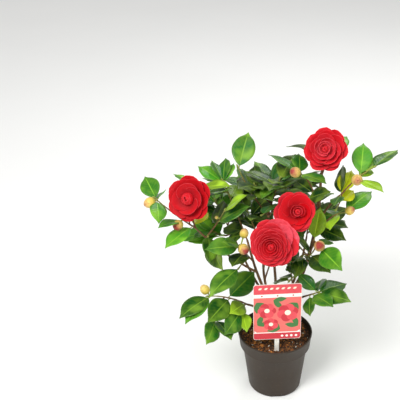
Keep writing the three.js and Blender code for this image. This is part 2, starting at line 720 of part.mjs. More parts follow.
// A flat piece of the label, standing upright behind its front plane
function labelPiece(shape, thickness, setBack, foot) {
  const flat = { depth: thickness, bevelEnabled: false, curveSegments: 2 };
  const geometry = new THREE.ExtrudeGeometry(shape, flat);
  geometry.rotateX(Math.PI / 2);
  geometry.translate(0, setBack + thickness, foot);
  geometry.rotateZ(radians(CARD_TURN));
  geometry.translate(CARD_PLACE.x, CARD_PLACE.y, 0);
  return solidOf(geometry);
}

function roundedPlate(width, height, corner) {
  const half = width / 2;
  const shape = new THREE.Shape();
  shape.moveTo(-half + corner, 0);
  shape.lineTo(half - corner, 0);
  shape.absarc(half - corner, corner, corner, -Math.PI / 2, 0);
  shape.lineTo(half, height - corner);
  shape.absarc(half - corner, height - corner, corner, 0, Math.PI / 2);
  shape.lineTo(-half + corner, height);
  shape.absarc(-half + corner, height - corner, corner, Math.PI / 2, Math.PI);
  shape.lineTo(-half, corner);
  shape.absarc(-half + corner, corner, corner, Math.PI, Math.PI * 1.5);
  return shape;
}

// Limbs, from the trunk's flat cut on the potting mix
addLimb("trunk", TRUNK, new THREE.Vector3(0, 0, MIX_TOP - TRUNK_SUNK), (share) => {
  return taper(TRUNK.radii)(share) + ROOT_FLARE * (1 - share) ** FLARE_FALL;
});
for (const [name, bough] of Object.entries(BOUGHS)) {
  addLimb(name, bough, pointOn(limbs[bough.on].path, bough.at), taper(bough.radii));
}

for (const [name, bloom] of Object.entries(BLOOMS)) {
  const frame = bloomFrame(bloom);
  const centre = new THREE.Vector3(...bloom.centre);
  const tip = centre.clone().addScaledVector(frame.front, -CUP_DEPTH).toArray();
  addLimb(name, { ...bloom, tip }, pointOn(limbs[bloom.on].path, bloom.at), taper(TWIG_RADII));
  blooms[name] = { ...bloom, frame, centre };
}

// Foliage: first every stem and shoot, then the leaves set one by one, then the leaves that follow the rule
const growth = Object.entries(MASSES).map(([name, mass]) => {
  const stem = { ...mass, path: limbPath(pointOn(limbs[mass.on].path, mass.at), mass) };
  const side = (mass.shoots ?? []).map((shoot) => {
    return { ...shoot, path: limbPath(pointOn(stem.path, shoot.at), shoot) };
  });
  const shoots = [stem, ...side];
  for (const shoot of shoots) occupyPath(shoot.path, taper(TWIG_RADII), name);
  return { name, shoots, leaves: [] };
});
for (const mass of growth) {
  for (const shoot of mass.shoots) {
    for (const [at, bearing, rise, length, roll] of shoot.leaves ?? []) {
      addLeaf(mass, makeLeaf(rootOn(shoot.path, at), bearing, rise, length, roll), false);
    }
  }
}
for (const [order, mass] of growth.entries()) {
  const random = seededRandom(FIRST_SEED + order);
  for (const shoot of mass.shoots) {
    for (let i = 0; i < (shoot.ruled ?? 0); i += 1) {
      let placed = false;
      for (let attempt = 0; attempt < RETRIES && !placed; attempt += 1) {
        placed = addLeaf(mass, ruledLeaf(shoot, i, random, attempt), true);
      }
    }
  }
}

// Everything as solids, each limb and mass cut clear of the limbs placed before it
addMesh("pot", potSolid(), POT_PLASTIC);
const stickLength = STICK_TOP - STICK_FOOT;
const stickShape = roundedPlate(STICK_WIDTH, stickLength, STICK_CORNER);
const slotShape = roundedPlate(STICK_WIDTH + 2 * GAP, stickLength + 2 * GAP, STICK_CORNER);
const cardShape = roundedPlate(CARD_WIDTH, CARD_HEIGHT, CARD_CORNER);
const stick = labelPiece(stickShape, STICK_THICKNESS, CARD_THICKNESS + GAP, STICK_FOOT);
addMesh("label_stick", stick, WHITE_PLASTIC);
addMesh("label_card", labelPiece(cardShape, CARD_THICKNESS, 0, CARD_FOOT), CARD);
const slot = labelPiece(slotShape, STICK_THICKNESS + 2 * GAP, CARD_THICKNESS, STICK_FOOT - GAP);
addMesh("potting_mix", mixSolid().subtract(slot), BARK_MIX);

const fatLimbs = [];
function clearOfLimbs(solid) {
  return fatLimbs.length ? solid.subtract(wasm.Manifold.union(fatLimbs)) : solid;
}
function fatLimb({ path, radiusAt }, sides) {
  return limbSolid(path, (share) => radiusAt(share) + LIMB_GAP, sides);
}

for (const name of ["trunk", ...Object.keys(BOUGHS)]) {
  const sides = name === "trunk" ? TRUNK_SIDES : BOUGH_SIDES;
  const limb = limbSolid(limbs[name].path, limbs[name].radiusAt, sides);
  addMesh(name, clearOfLimbs(limb.trimByPlane([0, 0, 1], MIX_TOP + GAP)), BARK);
  fatLimbs.push(fatLimb(limbs[name], sides));
}
for (const [name, bloom] of Object.entries(blooms)) {
  const twig = limbSolid(limbs[name].path, limbs[name].radiusAt, BLOOM_TWIG_SIDES);
  addMesh(name, clearOfLimbs(twig.add(blossomSolid(bloom))), PETAL);
}
for (const name of Object.keys(blooms)) fatLimbs.push(fatLimb(limbs[name], BLOOM_TWIG_SIDES));
for (const mass of growth) {
  const pieces = mass.leaves.map(leafSolid);
  for (const shoot of mass.shoots) {
    pieces.push(limbSolid(shoot.path, taper(TWIG_RADII), TWIG_SIDES));
    for (const [at, bearing, rise, stalk, radius] of shoot.buds ?? []) {
      const root = rootOn(shoot.path, at);
      const way = heading([bearing, rise]);
      const centre = root.clone().addScaledVector(way, stalk + radius * BUD_ON_STALK);
      pieces.push(limbSolid([root, centre], () => TWIG_RADII[1], TWIG_SIDES));
      pieces.push(ball(centre, { radius, stretch: BUD_LENGTHENING }, way, BUD_SIDES));
    }
  }
  addMesh(mass.name, clearOfLimbs(wasm.Manifold.union(pieces)), LEAF, FOLIAGE_COARSENESS);
}

export default camellia;
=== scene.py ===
"""Camellia shrub in flower in its nursery pot, with a plain plant label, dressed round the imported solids.

Lengths are millimetres in the code and metres in Blender. Bearings are degrees in plan: 0 is +X and 90 is
+Y, away from the front. Rises are degrees above the level.
"""

import math
from functools import lru_cache, partial

import bpy
import numpy as np
from mathutils import Matrix, Vector, noise


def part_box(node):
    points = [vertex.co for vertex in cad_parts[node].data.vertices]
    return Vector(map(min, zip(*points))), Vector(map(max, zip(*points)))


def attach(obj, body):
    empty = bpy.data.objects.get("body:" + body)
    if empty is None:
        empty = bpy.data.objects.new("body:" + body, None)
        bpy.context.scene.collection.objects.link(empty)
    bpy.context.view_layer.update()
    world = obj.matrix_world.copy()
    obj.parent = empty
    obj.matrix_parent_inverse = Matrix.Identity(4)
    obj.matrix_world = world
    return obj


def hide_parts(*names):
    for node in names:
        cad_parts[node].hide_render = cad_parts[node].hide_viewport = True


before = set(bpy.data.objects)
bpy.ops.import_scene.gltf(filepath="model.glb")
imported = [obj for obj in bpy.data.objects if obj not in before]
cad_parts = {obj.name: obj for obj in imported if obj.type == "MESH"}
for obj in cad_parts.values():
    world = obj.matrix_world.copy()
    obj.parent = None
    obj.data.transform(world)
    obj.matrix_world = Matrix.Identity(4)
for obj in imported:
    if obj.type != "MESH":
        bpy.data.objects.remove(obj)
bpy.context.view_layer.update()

bl_info = {
    "name": "Potted camellia",
    "version": (1, 0, 0),
    "blender": (4, 5, 0),
    "location": "View3D > Sidebar > Plant",
    "description": "A camellia shrub in flower in a nursery pot, with a plain label",
    "category": "Add Mesh",
}

MM = 0.001
# Faces of a box whose lower and then upper corners run round it
BOX_FACES = ((3, 2, 1, 0), (4, 5, 6, 7), (0, 1, 5, 4), (1, 2, 6, 5), (2, 3, 7, 6), (3, 0, 4, 7))
# A heading that no path takes, to start a tube's rings from
UNLIKELY_WAY = (0.37, 0.81, 0.45)

# Pot, potting mix and label, as the solids have them
POT_HEIGHT = 131
RIM_RADIUS = 75
COLLAR_FOOT_RADIUS = 71
COLLAR_FOOT = 101
BODY_TOP_RADIUS = 65.5
FOOT_RADIUS = 53.5
WALL = 2.2
FLOOR = 3
POT_SEGMENTS = 144
NOTCH_WIDTH = 25
NOTCH_HEIGHT = 5
NOTCH_DEPTH = 4
NOTCH_BEARINGS = (-82, 8, 98, 188)
DRAIN_RADIUS = 4.5
DRAIN_CIRCLE = 30
DRAIN_COUNT = 6
MIX_TOP = 123
CARD_WIDTH = 92
CARD_HEIGHT = 128
CARD_THICKNESS = 1
CARD_CORNER = 5
CARD_FOOT = 152
CARD_PLACE = (4, -56)
CARD_TURN = 7
STICK_WIDTH = 9
STICK_THICKNESS = 1.6
STICK_FOOT = 78
STICK_TOP = 205
STICK_CORNER = 3.6
GAP = 0.3

# Leaves and twigs, and the rule by which they grow, as the solids have them
STALK_LENGTH = 7
LAST_ROOT = 0.96
LEAF_SLIMNESS = 0.53
LEAF_FOLD = 0.12
LEAF_DROOP = 0.1
TWIG_RADII = (1.7, 1.1)
LIMB_STEP = 26
NEARBY = 0.05
FIRST_SEED = 1000
BARE_SHARE = 0.3
GOLDEN_ANGLE = 137.5
RETRY_ANGLE = 75
RETRIES = 5
OPENING = (68, 34)
OPENING_SPREAD = 12
LEVELLING = 0.7
STEEPEST = 25
ROLL_SPREAD = 50
RULED_LENGTH = (60, 78)
LEAF_CLEAR = 5.5
OWN_LEAF_CLEAR = 2.5
LIMB_CLEAR = 3.5
CARD_CLEAR = 4
SAMPLE_STEP = 5
SHADED_SHARE = 0.3
SAMPLE_GRID = np.meshgrid(
    (0.04, 0.16, 0.28, 0.4, 0.52, 0.64, 0.76, 0.88, 1), (-0.9, -0.45, 0, 0.45, 0.9), indexing="ij",
)
NEAR_BOX = 12
CUP_DEPTH = 18
BLOSSOM_ROOM = {"beside": 3, "before": 18, "behind": 9, "rise": 15}
BUD_LENGTHENING = 1.15
BUD_ON_STALK = 0.6
TRUNK_SUNK = 4
ROOT_FLARE = 4.5
FLARE_FALL = 4

# The finer growth: small leaves between the others, by the same rule, closer together
FINER_SEED = 5000
FINER_LENGTH = (50, 68)
FINER_CLEAR = 4
FINER_PER_SHOOT = 4
BUD_CLEAR = 6
# Short sprigs of small dark leaves on the boughs: bough, place along it, and the sprig's tip
SPRIGS = (
    ("bough_right", 0.38, (22, 6, 300)), ("bough_centre", 0.4, (0, 22, 312)),
    ("bough_right", 0.5, (28, 18, 335)), ("bough_right", 0.52, (44, -16, 316)),
)
SPRIG_SEED = 7000
SPRIG_LENGTH = (38, 54)
SPRIG_LEAVES = 5
SPRIG_MASS = "foliage_sprig"
SPRIG_RISE = 3

# Limbs: parent, place along it, a point halfway, the tip, and radii at foot and tip
TRUNK = {"through": (1, 3, 150), "tip": (3, 5, 176), "radii": (6.5, 5.2)}
BOUGHS = {
    "bough_right": ("trunk", 0.96, (62, 10, 300), (80, 20, 476), (4.6, 2.6)),
    "bough_left": ("trunk", 0.9, (-30, 2, 248), (-55, 2, 340), (3.4, 2.2)),
    "bough_centre": ("trunk", 0.84, (-24, 9, 269), (-15, 20, 390), (2.9, 1.9)),
    "bough_far_left": ("bough_left", 0.62, (-97, -8, 317), (-153, -10, 373), (2.2, 1.8)),
    "bough_lower_left": ("trunk", 0.55, (-24, -10, 188), (-55, -22, 208), (3, 2)),
    "bough_lower_right": ("trunk", 0.7, (30, -10, 205), (60, -22, 232), (2.8, 1.9)),
    "bough_right_side": ("bough_right", 0.72, (98, 9, 417), (117, 0, 442), (2.4, 1.8)),
    "bough_right_front": ("bough_right", 0.56, (70, -8, 338), (70, -22, 356), (2.1, 1.7)),
    "bough_back": ("trunk", 0.9, (-3, 50, 260), (-10, 85, 375), (3.2, 2)),
    "bough_back_left": ("trunk", 0.72, (-45, 42, 232), (-85, 65, 310), (2.8, 1.9)),
    "bough_back_right": ("trunk", 0.78, (40, 45, 232), (60, 75, 305), (2.8, 1.9)),
}

# Flowering twigs: parent, place along it, a point halfway, the blossom's centre, heading and radius
BLOOMS = {
    "bloom_top": ("bough_right", 0.995, (84, 18, 498), (85, 0, 534), (-100, 28), 40),
    "bloom_left": ("bough_far_left", 0.99, (-160, -10, 408), (-162, -40, 451), (-104, 24), 43),
    "bloom_front": ("bough_centre", 0.5, (-16, -25, 335), (-4, -95, 393), (-98, 20), 45),
    "bloom_upper": ("bough_centre", 0.93, (0, 10, 408), (33, -50, 433), (-84, 30), 38.5),
}


def even(count, first):
    """Bearings of a full ring of petals"""
    return tuple(first + 360 * i / count for i in range(count))


def shoot(at, through, tip, tint, leaves=(), buds=(), ruled=0, first=0, shoots=(), on=None):
    """A twig of a mass: what it bears, and the limb that it stands on where it is the mass's stem"""
    return {
        "at": at, "through": through, "tip": tip, "tint": tint, "leaves": leaves, "buds": buds,
        "ruled": ruled, "first": first, "shoots": shoots, "on": on,
    }


# Petals of each blossom, from the rim inwards: reach as a share of the radius, height before the rim, half
# its spread in degrees, how much painted highlight pales it, how far its rim turns back, and the petals'
# bearings on the face
PETALS = {
    "bloom_top": (
        (1.0, -7, 33, 0.12, 3, (8, 55, 103, 152, 200, 247, 300)),
        (0.88, -2, 38, 0.1, 2, (80, 135, 188, 232, 320, 25)),
        (0.7, 4, 44, 0.2, 1, (100, 160, 235, 300, 355)), (0.5, 9, 52, 0.35, 0.5, (60, 140, 225, 320)),
        (0.34, 12, 66, 0.75, 0, (100, 215)), (0.24, 12, 75, 0.5, 0, (330, 150)),
    ),
    "bloom_left": (
        (1.0, -7, 34, 0.05, 3, (95, 150, 220, 265, 320, 40)),
        (0.9, -3, 38, 0.05, 2.5, (180, 355, 120, 292, 66, 240)),
        (0.67, 7, 56, 0.1, 0.5, (93, 190, 280, 15)), (0.44, -2, 60, 0.0, 0, (50, 140, 235, 325)),
    ),
    "bloom_front": (
        (1.0, -6, 42, 0.9, 3, (28, 75)), (1.0, -6, 32, 0.3, 3, (122, 165, 210, 255, 300, 345)),
        (0.93, -3, 42, 1.0, 2, (52,)), (0.9, -2, 33, 0.25, 2, (100, 145, 188, 232, 278, 322)),
        (0.78, 2, 37, 0.3, 1.5, even(6, 5)), (0.68, 5, 38, 0.25, 1, even(6, 35)),
        (0.58, 7, 40, 0.2, 0.7, even(6, 8)), (0.48, 9, 42, 0.2, 0.5, even(5, 44)),
        (0.39, 10, 46, 0.15, 0.3, even(5, 5)), (0.3, 10, 52, 0.1, 0, even(4, 38)),
        (0.2, 10, 64, 0.1, 0, even(3, 0)),
    ),
    "bloom_upper": (
        (1.0, -7, 38, 0.3, 3, (10, 62, 120, 185, 245, 300)), (0.9, -2, 42, 0.15, 2, (355, 235, 300)),
        (0.88, 1, 50, 0.05, 1.5, (58, 122, 186, 250)), (0.62, 0, 52, 0.0, 0.5, (350, 290)),
        (0.34, 3, 66, 0.1, 0, (165, 20)), (0.22, 7, 80, 0.25, 0, (30, 200)),
    ),
}
# How far a petal's sides fall short of its tip, and how loosely each blossom's petals stand
PETAL_FALL = 0.34
LOOSENESS = {"bloom_top": 1.0, "bloom_left": 0.5, "bloom_front": 0.4, "bloom_upper": 0.5}
# How far each blossom has opened to its full colour, deeper in the younger ones
BRIGHTNESS = {"bloom_top": 1.0, "bloom_left": 0.7, "bloom_front": 0.9, "bloom_upper": 1.0}
# Inner petals stand off the blossom's middle, sideways and upwards on its face, as shares of the radius
LEANS = {"bloom_front": (-0.1, -0.14), "bloom_upper": (0.12, 0.0)}
LEANING_FROM = 0.2
# The closed heart of petals: its radius as a share of the blossom's, and how far it stands before the rim
HEARTS = {
    "bloom_top": (0.12, 4), "bloom_left": (0.26, -2), "bloom_front": (0.13, 1), "bloom_upper": (0.12, -1),
}

# Foliage masses: where along its limb the stem grows, a point halfway, its tip, its leaves' tint, that limb,
# and its side shoots. Leaves set one by one are (place along the shoot, bearing, rise, length, roll, tint).
# The others are a number that follow the growth rule from a first angle. Buds are (place, bearing, rise,
# stalk, radius, and how red their tips are).
MASSES = {
    "foliage_far_left": shoot(
        1, (-190, -15, 405), (-224, -20, 440), "fresh", on="bough_far_left",
        leaves=(
            (1, 118, 18, 72, -20, "fresh"), (0.97, -78, -12, 60, -15, "fresh"),
            (0.98, 83, -3, 50, -35, "fresh"), (0.06, -127, -4, 76, -5, "fresh"),
            (0.3, -135, 12, 60, 5, "fresh"), (0.06, 72, 7, 64, 5, "yellow"),
        ),
        buds=((1, 200, -15, 8, 10, 0.45), (0.3, -114, -7, 13, 9.5, 0.9)),
        shoots=(
            shoot(
                0.14, (-160, 4, 415), (-148, 8, 452), "lime",
                leaves=((1, -23, 20, 72, 5, "lime"), (0.9, 136, 18, 62, 20, "fresh")),
            ),
        ),
    ),
    "foliage_left_inner": shoot(
        0.82, (-112, -10, 383), (-97, -12, 412), "deep", on="bough_far_left",
        leaves=(
            (0.55, -17, 41, 78, 25, "mid"), (1, -25, 49, 66, 20, "lime"), (0.4, 78, 27, 70, -35, "deep"),
            (0.06, -66, -30, 76, 60, "deep"), (0.1, -81, -15, 66, -35, "mid"),
        ),
        buds=((0.7, 190, 20, 5, 3, 0),),
    ),
    "foliage_upper_left": shoot(
        1, (-78, 16, 398), (-101, 14, 461), "fresh", on="bough_left", ruled=2, first=200,
        leaves=(
            (1, 141, 18, 68, -5, "fresh"), (1, 93, 26, 64, -35, "mid"), (0.97, 115, 26, 62, 30, "mid"),
            (0.95, 135, -3, 60, 10, "fresh"), (0.8, 143, -15, 62, -10, "mid"), (0.95, 75, -30, 42, 40, "mid"),
            (0.7, 77, 2, 64, 10, "lime"), (0.15, 134, -13, 66, -25, "deep"), (0.1, 145, -28, 56, -40, "deep"),
            (0.3, 106, 3, 62, 20, "deep"),
        ),
    ),
    "foliage_top": shoot(
        0.98, (-51, 30, 434), (-73, 30, 482), "fresh", on="bough_centre",
        leaves=((0.97, 76, 42, 80, 15, "mid"), (0.5, 102, 19, 62, 40, "mid"), (0.4, 117, 12, 66, 10, "deep")),
    ),
    "foliage_centre": shoot(
        1, (-6, 22, 425), (5, 22, 462), "deep", on="bough_centre", ruled=5, first=90,
        leaves=(
            (1, 84, -10, 60, -35, "deep"), (0.6, 83, 11, 60, -50, "deep"), (0.95, -122, -2, 64, 15, "mid"),
            (0.5, 66, -5, 60, -5, "deep"),
        ),
        shoots=(
            shoot(
                0.3, (-30, 22, 430), (-41, 20, 450), "deep", ruled=2, leaves=((1, -61, 5, 66, 15, "deep"),),
            ),
            shoot(0.1, (-18, -5, 405), (-27, -30, 414), "deep", leaves=((1, 67, 0, 60, -20, "mid"),)),
        ),
    ),
    "foliage_inner": shoot(
        0.72, (-40, 24, 350), (-55, 32, 385), "deep", on="bough_centre", ruled=5, first=85,
    ),
    "foliage_front_left": shoot(
        0.75, (-56, -28, 329), (-66, -55, 363), "mid", on="bough_left",
        leaves=((1, -150, 15, 72, -30, "mid"), (1, -136, 37, 48, -25, "mid"), (0.6, -107, 12, 66, 0, "deep")),
        buds=((1, 60, 60, 20, 8, 0.5), (1, -60, 0, 6, 10, 0.8)),
        shoots=(
            shoot(0.25, (-60, -30, 312), (-69, -50, 311), "mid", leaves=((1, -129, -9, 86, -5, "mid"),)),
        ),
    ),
    "foliage_lower_left": shoot(
        1, (-92, -32, 230), (-128, -40, 238), "fresh", on="bough_lower_left",
        leaves=(
            (1, -135, -3, 80, -5, "mid"), (0.97, -126, -8, 80, 5, "fresh"), (0.5, 52, 15, 88, 40, "mid"),
            (0.45, -116, 2, 82, -30, "mid"), (0.05, -112, 20, 64, -35, "lime"),
        ),
        buds=((1, 165, 50, 12, 9, 0),),
        shoots=(
            shoot(
                0.6, (-108, -45, 212), (-116, -58, 194), "fresh",
                leaves=((1, -98, -4, 66, -40, "mid"), (1, -56, 1, 66, -15, "mid")),
            ),
            shoot(
                0.05, (-62, -30, 206), (-66, -42, 205), "fresh",
                leaves=((1, -109, 3, 76, -40, "mid"), (0.8, -78, -12, 52, 5, "lime")),
            ),
        ),
    ),
    "foliage_lower_right": shoot(
        1, (70, -26, 239), (81, -30, 246), "mid", on="bough_lower_right",
        leaves=(
            (1, 150, 35, 52, -45, "mid"), (1, 81, -3, 62, -30, "mid"), (1, 37, -1, 74, 5, "mid"),
            (1, -35, 12, 72, 25, "mid"), (0.5, -56, 14, 66, 15, "mid"), (0.3, -94, -14, 50, 30, "mid"),
        ),
    ),
    "foliage_right_mid": shoot(
        1, (78, -28, 352), (82, -36, 348), "fresh", on="bough_right_front",
        leaves=((0, 70, 68, 64, 10, "lime"), (1, -67, 5, 80, 35, "fresh"), (0.5, 54, -14, 50, 5, "mid")),
        buds=((0.8, -95, 37, 13, 10, 1),),
        shoots=(
            shoot(
                0.1, (72, -20, 338), (64, -20, 324), "mid",
                leaves=((1, -65, 7, 74, 20, "deep"), (1, 125, 25, 60, 30, "deep")),
            ),
        ),
    ),
    "foliage_right_edge": shoot(
        0.66, (102, 12, 388), (128, -5, 408), "mid", on="bough_right",
        leaves=((1, 45, 20, 76, 5, "fresh"), (0.6, 102, -12, 56, 10, "mid"), (0.7, -109, 3, 58, 35, "lime")),
        buds=((1, 0, 30, 5, 8, 0.7),),
    ),
    "foliage_right": shoot(
        1, (140, 0, 472), (172, 0, 499), "fresh", on="bough_right_side",
        leaves=(
            (0, 67, 27, 64, 0, "yellow"), (0, 90, 30, 70, -60, "deep"), (0.66, 80, 34, 76, 5, "fresh"),
            (1, 47, 14, 76, -15, "mid"), (0.6, 52, 1, 50, 5, "lime"), (0.55, -45, 3, 62, -5, "lime"),
            (0.8, 65, 6, 60, -25, "lime"), (0, -108, 10, 50, 15, "mid"),
        ),
        buds=((0.55, -90, 20, 5, 10, 0.5),),
        shoots=(
            shoot(0.02, (115, -5, 430), (110, -8, 418), "yellow", leaves=((0.5, 53, 8, 50, 30, "yellow"),)),
        ),
    ),
    "foliage_crown_right": shoot(
        0.97, (88, 32, 490), (92, 40, 510), "mid", on="bough_right",
        leaves=(
            (1, 176, 14, 76, 15, "deep"), (0.8, 140, 8, 70, 10, "deep"), (1, 55, 10, 74, 10, "fresh"),
            (0.7, 100, 10, 66, 0, "mid"),
        ),
    ),
    "foliage_crown_left": shoot(
        0.82, (58, 12, 462), (36, 2, 486), "mid", on="bough_right",
        leaves=(
            (1, 136, 16, 76, 20, "mid"), (0.9, 88, 17, 62, 20, "mid"), (0.9, -45, 10, 66, 0, "mid"),
            (0.25, 128, 5, 62, -25, "deep"),
        ),
        buds=((1, 230, 30, 4, 9.5, 0.75),),
        shoots=(shoot(0, (66, 10, 421), (54, 5, 430), "deep", leaves=((1, -42, 36, 60, 45, "deep"),)),),
    ),
    "foliage_sprig": shoot(
        0.33, (42, 3, 264), (28, -8, 258), "deep", on="bough_right",
        leaves=((1, 144, -25, 50, 0, "deep"), (0.7, 141, -21, 40, 0, "deep"), (0.6, 115, -4, 40, 15, "mid")),
    ),
    "foliage_low_back": shoot(
        0.4, (28, 48, 255), (20, 68, 285), "deep", on="bough_back_right", ruled=6, first=20,
    ),
    "foliage_back": shoot(
        1, (-12, 98, 395), (-12, 112, 412), "mid", on="bough_back", ruled=6, first=10,
        shoots=(
            shoot(0.1, (-30, 110, 385), (-52, 125, 392), "mid", ruled=5),
            shoot(0.3, (15, 118, 395), (35, 132, 400), "deep", ruled=5, first=120),
        ),
    ),
    "foliage_back_left": shoot(
        1, (-105, 80, 345), (-122, 90, 378), "mid", on="bough_back_left", ruled=6, first=50,
        shoots=(
            shoot(0.1, (-105, 55, 318), (-125, 50, 330), "fresh", ruled=5),
            shoot(0.3, (-90, 100, 345), (-88, 120, 362), "mid", ruled=5, first=80),
        ),
    ),
    "foliage_back_right": shoot(
        1, (62, 90, 345), (55, 100, 380), "mid", on="bough_back_right", ruled=6, first=140,
        shoots=(
            shoot(0.1, (75, 78, 325), (88, 75, 340), "deep", ruled=5, first=30),
            shoot(0.3, (50, 110, 345), (40, 130, 355), "mid", ruled=5, first=200),
        ),
    ),
}
# Leaf tints, partly the leaves' own colours from young to old and partly painted light: fresh on sprays in
# full light, deep as painted shade on the inner sprays
LEAF_TINTS = {"yellow": "b4b80a", "lime": "7aa01c", "fresh": "3c8220", "mid": "1d5a1a", "deep": "0d3611"}

# Detail that only the visible pieces have
MARK_FOOT = 74
LEAF_SEED = 77
LEAF_TEETH = 36
LEAF_ACROSS = (-1, -0.72, -0.4, -0.12, 0, 0.12, 0.4, 0.72, 1)
TOOTH = 0.35
BLADE_THICKNESS = 0.75
TWIG_STEP = 4
TWIG_SIDES = 10
BARK_STEP = 2.2
TRUNK_SIDES = 40
BOUGH_SIDES = 26
# How much a bough is thicker where it forks off, and how far that reaches along it
FORK_SWELLING = 0.25
FORK_REACH = 7
BLOSSOM_SEED = 300
PETAL_THICKNESS = 0.55
PETAL_ALONG = (0, 0.14, 0.28, 0.43, 0.58, 0.72, 0.84, 0.92, 0.965, 1)
PETAL_ACROSS = (-1, -0.95, -0.84, -0.62, -0.32, 0, 0.32, 0.62, 0.84, 0.95, 1)
BUD_SEED = 900
# Where a bud's scales start, in degrees from its middle
SCALE_FOOT = -84
MIX_SEED = 41
# Rings and spokes of the bed of mix, and how many crumbs, chips, grains and fibres lie on it
BED_GRID = (34, 120)
CRUMB_COUNT = 1500
CHIP_COUNT = 260
PERLITE_COUNT = 70
FIBRE_COUNT = 110
INK_LAYER = 0.05

# Floor, lamps and camera, in metres and degrees. Lamps are (name, place, size, share of the key power)
FLOOR_REACH = 30.0
LIT_PLACE = (0, 0, 0.33)
LAMPS = (
    ("key", (-0.9, -1.4, 2.0), 0.9, 1.0),
    ("fill", (1.6, -1.0, 1.3), 1.2, 0.35),
    ("back", (0.5, 1.6, 1.8), 1.2, 0.4),
)
CEILING_ANGLE = 70
CEILING_WAY = (0.25, 0.45, -1)
CAMERA_TURN = (-6.03, 28.236, -2.063)
CAMERA_LENS = 74.37
CAMERA_PLACE = (0, -1.3541, 1.1588)


def linear(code):
    """Linear red, green, blue and alpha of an sRGB hex colour"""
    parts = [int(code[i:i + 2], 16) / 255 for i in (0, 2, 4)]
    return tuple(c / 12.92 if c <= 0.04045 else ((c + 0.055) / 1.055) ** 2.4 for c in parts) + (1.0,)


def mix(low, high, share):
    return low + (high - low) * share


def smooth_step(low, high, value):
    t = np.clip((value - low) / (high - low), 0, 1)
    return t * t * (3 - 2 * t)


def unit(vector):
    return vector / np.linalg.norm(vector)


def seeded_random(seed):
    """Repeatable random numbers from 0 to 1, as the solids are grown with"""
    state = seed

    def draw():
        nonlocal state
        state = (state * 1664525 + 1013904223) % 4294967296
        return state / 4294967296

    return draw


def heading(bearing, rise):
    """Unit vector of a bearing and a rise"""
    b, r = math.radians(bearing), math.radians(rise)
    return np.array([math.cos(r) * math.cos(b), math.cos(r) * math.sin(b), math.sin(r)])


# Meshes


def linked(name, data):
    """A new object in the scene"""
    made = bpy.data.objects.new(name, data)
    bpy.context.scene.collection.objects.link(made)
    return made


class Heap:
    """Vertices, faces, material numbers and point attributes of a piece that is put together bit by bit"""

    def __init__(self, *attributes):
        self.points, self.faces, self.materials = [], [], []
        self.count = 0
        self.attributes = {name: [] for name in attributes}

    def add(self, points, faces, material=0, **attributes):
        points = np.asarray(points, float).reshape(-1, 3)
        self.points.append(points)
        self.faces += [tuple(int(v) + self.count for v in face) for face in faces]
        self.materials += [material] * len(faces) if np.ndim(material) == 0 else material
        for name, kept in self.attributes.items():
            kept.append(np.broadcast_to(attributes.get(name, 0.0), (len(points),)))
        self.count += len(points)

    def add_sheet(self, front, thickness, faces, material=0, **attributes):
        """A thin sheet, its attributes given at the points of its front or as one value"""
        for name, value in attributes.items():
            attributes[name] = np.tile(np.broadcast_to(value, front.shape[:2]).ravel(), 2)
        self.add(sheet_points(front, thickness), faces, material, **attributes)

    def piece(self, name, materials, slot, replaced=(), smooth=True):
        mesh = bpy.data.meshes.new(name)
        mesh.from_pydata((np.concatenate(self.points) * MM).tolist(), [], self.faces)
        mesh.polygons.foreach_set("material_index", np.array(self.materials, np.int32))
        if smooth:
            mesh.shade_smooth()
        for attribute, values in self.attributes.items():
            made = mesh.attributes.new(attribute, "FLOAT", "POINT")
            made.data.foreach_set("value", np.concatenate(values).astype(np.float32))
        for material in materials:
            mesh.materials.append(material)
        mesh.update()
        piece = linked(name, mesh)
        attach(piece, "root")
        if replaced:
            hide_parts(*replaced)
        return piece


def sheet_faces(rows, columns):
    """Quads of a closed thin sheet: a front grid, then a back grid like it, stitched round the edge"""
    half, last = rows * columns, (rows - 1) * columns
    faces = []
    for i in range(rows - 1):
        for a in range(i * columns, (i + 1) * columns - 1):
            quad = (a, a + 1, a + columns + 1, a + columns)
            faces += [quad, tuple(half + v for v in reversed(quad))]
    rim = [*range(columns), *range(2 * columns - 1, half, columns)]
    rim += [*range(half - 2, last - 1, -1), *range(last - columns, 0, -columns)]
    return faces + [(b, a, half + a, half + b) for a, b in zip(rim, rim[1:] + rim[:1])]


def sheet_points(front, thickness):
    """Points of a thin sheet: its front grid, and the same grid moved back along its normals"""
    down = np.gradient(front, axis=0)
    across = np.gradient(front, axis=1)
    normal = np.cross(across, down)
    normal /= np.maximum(np.linalg.norm(normal, axis=2, keepdims=True), 1e-9)
    thick = np.broadcast_to(thickness, front.shape[:2])[..., None]
    step = normal * thick / 2
    return np.concatenate([(front + step).reshape(-1, 3), (front - step).reshape(-1, 3)])


def ring_faces(rings, sides):
    """Quads between rings of points that follow each other, and a face over the first and the last ring"""
    faces = []
    for start in range(0, (rings - 1) * sides, sides):
        for j in range(sides):
            a, b = start + j, start + (j + 1) % sides
            faces.append((a, b, b + sides, a + sides))
    last = range((rings - 1) * sides, rings * sides)
    return [*faces, tuple(reversed(range(sides))), tuple(last)]


def tube(path, radii, sides):
    """Rings of points round a path, with radii for each ring or each of its points, closed at both ends"""
    path = np.asarray(path, float)
    ways = np.gradient(path, axis=0)
    ways /= np.linalg.norm(ways, axis=1, keepdims=True)
    side = unit(np.cross(ways[0], UNLIKELY_WAY))
    angles = np.linspace(0, 2 * math.pi, sides, endpoint=False)
    radii = np.broadcast_to(np.asarray(radii, float).reshape(len(path), -1), (len(path), sides))
    rings = []
    for point, way, radius in zip(path, ways, radii):
        side = unit(side - way * np.dot(side, way))
        spoke = np.outer(np.cos(angles), side) + np.outer(np.sin(angles), np.cross(way, side))
        rings.append(point + spoke * radius[:, None])
    return np.concatenate(rings), ring_faces(len(path), sides)


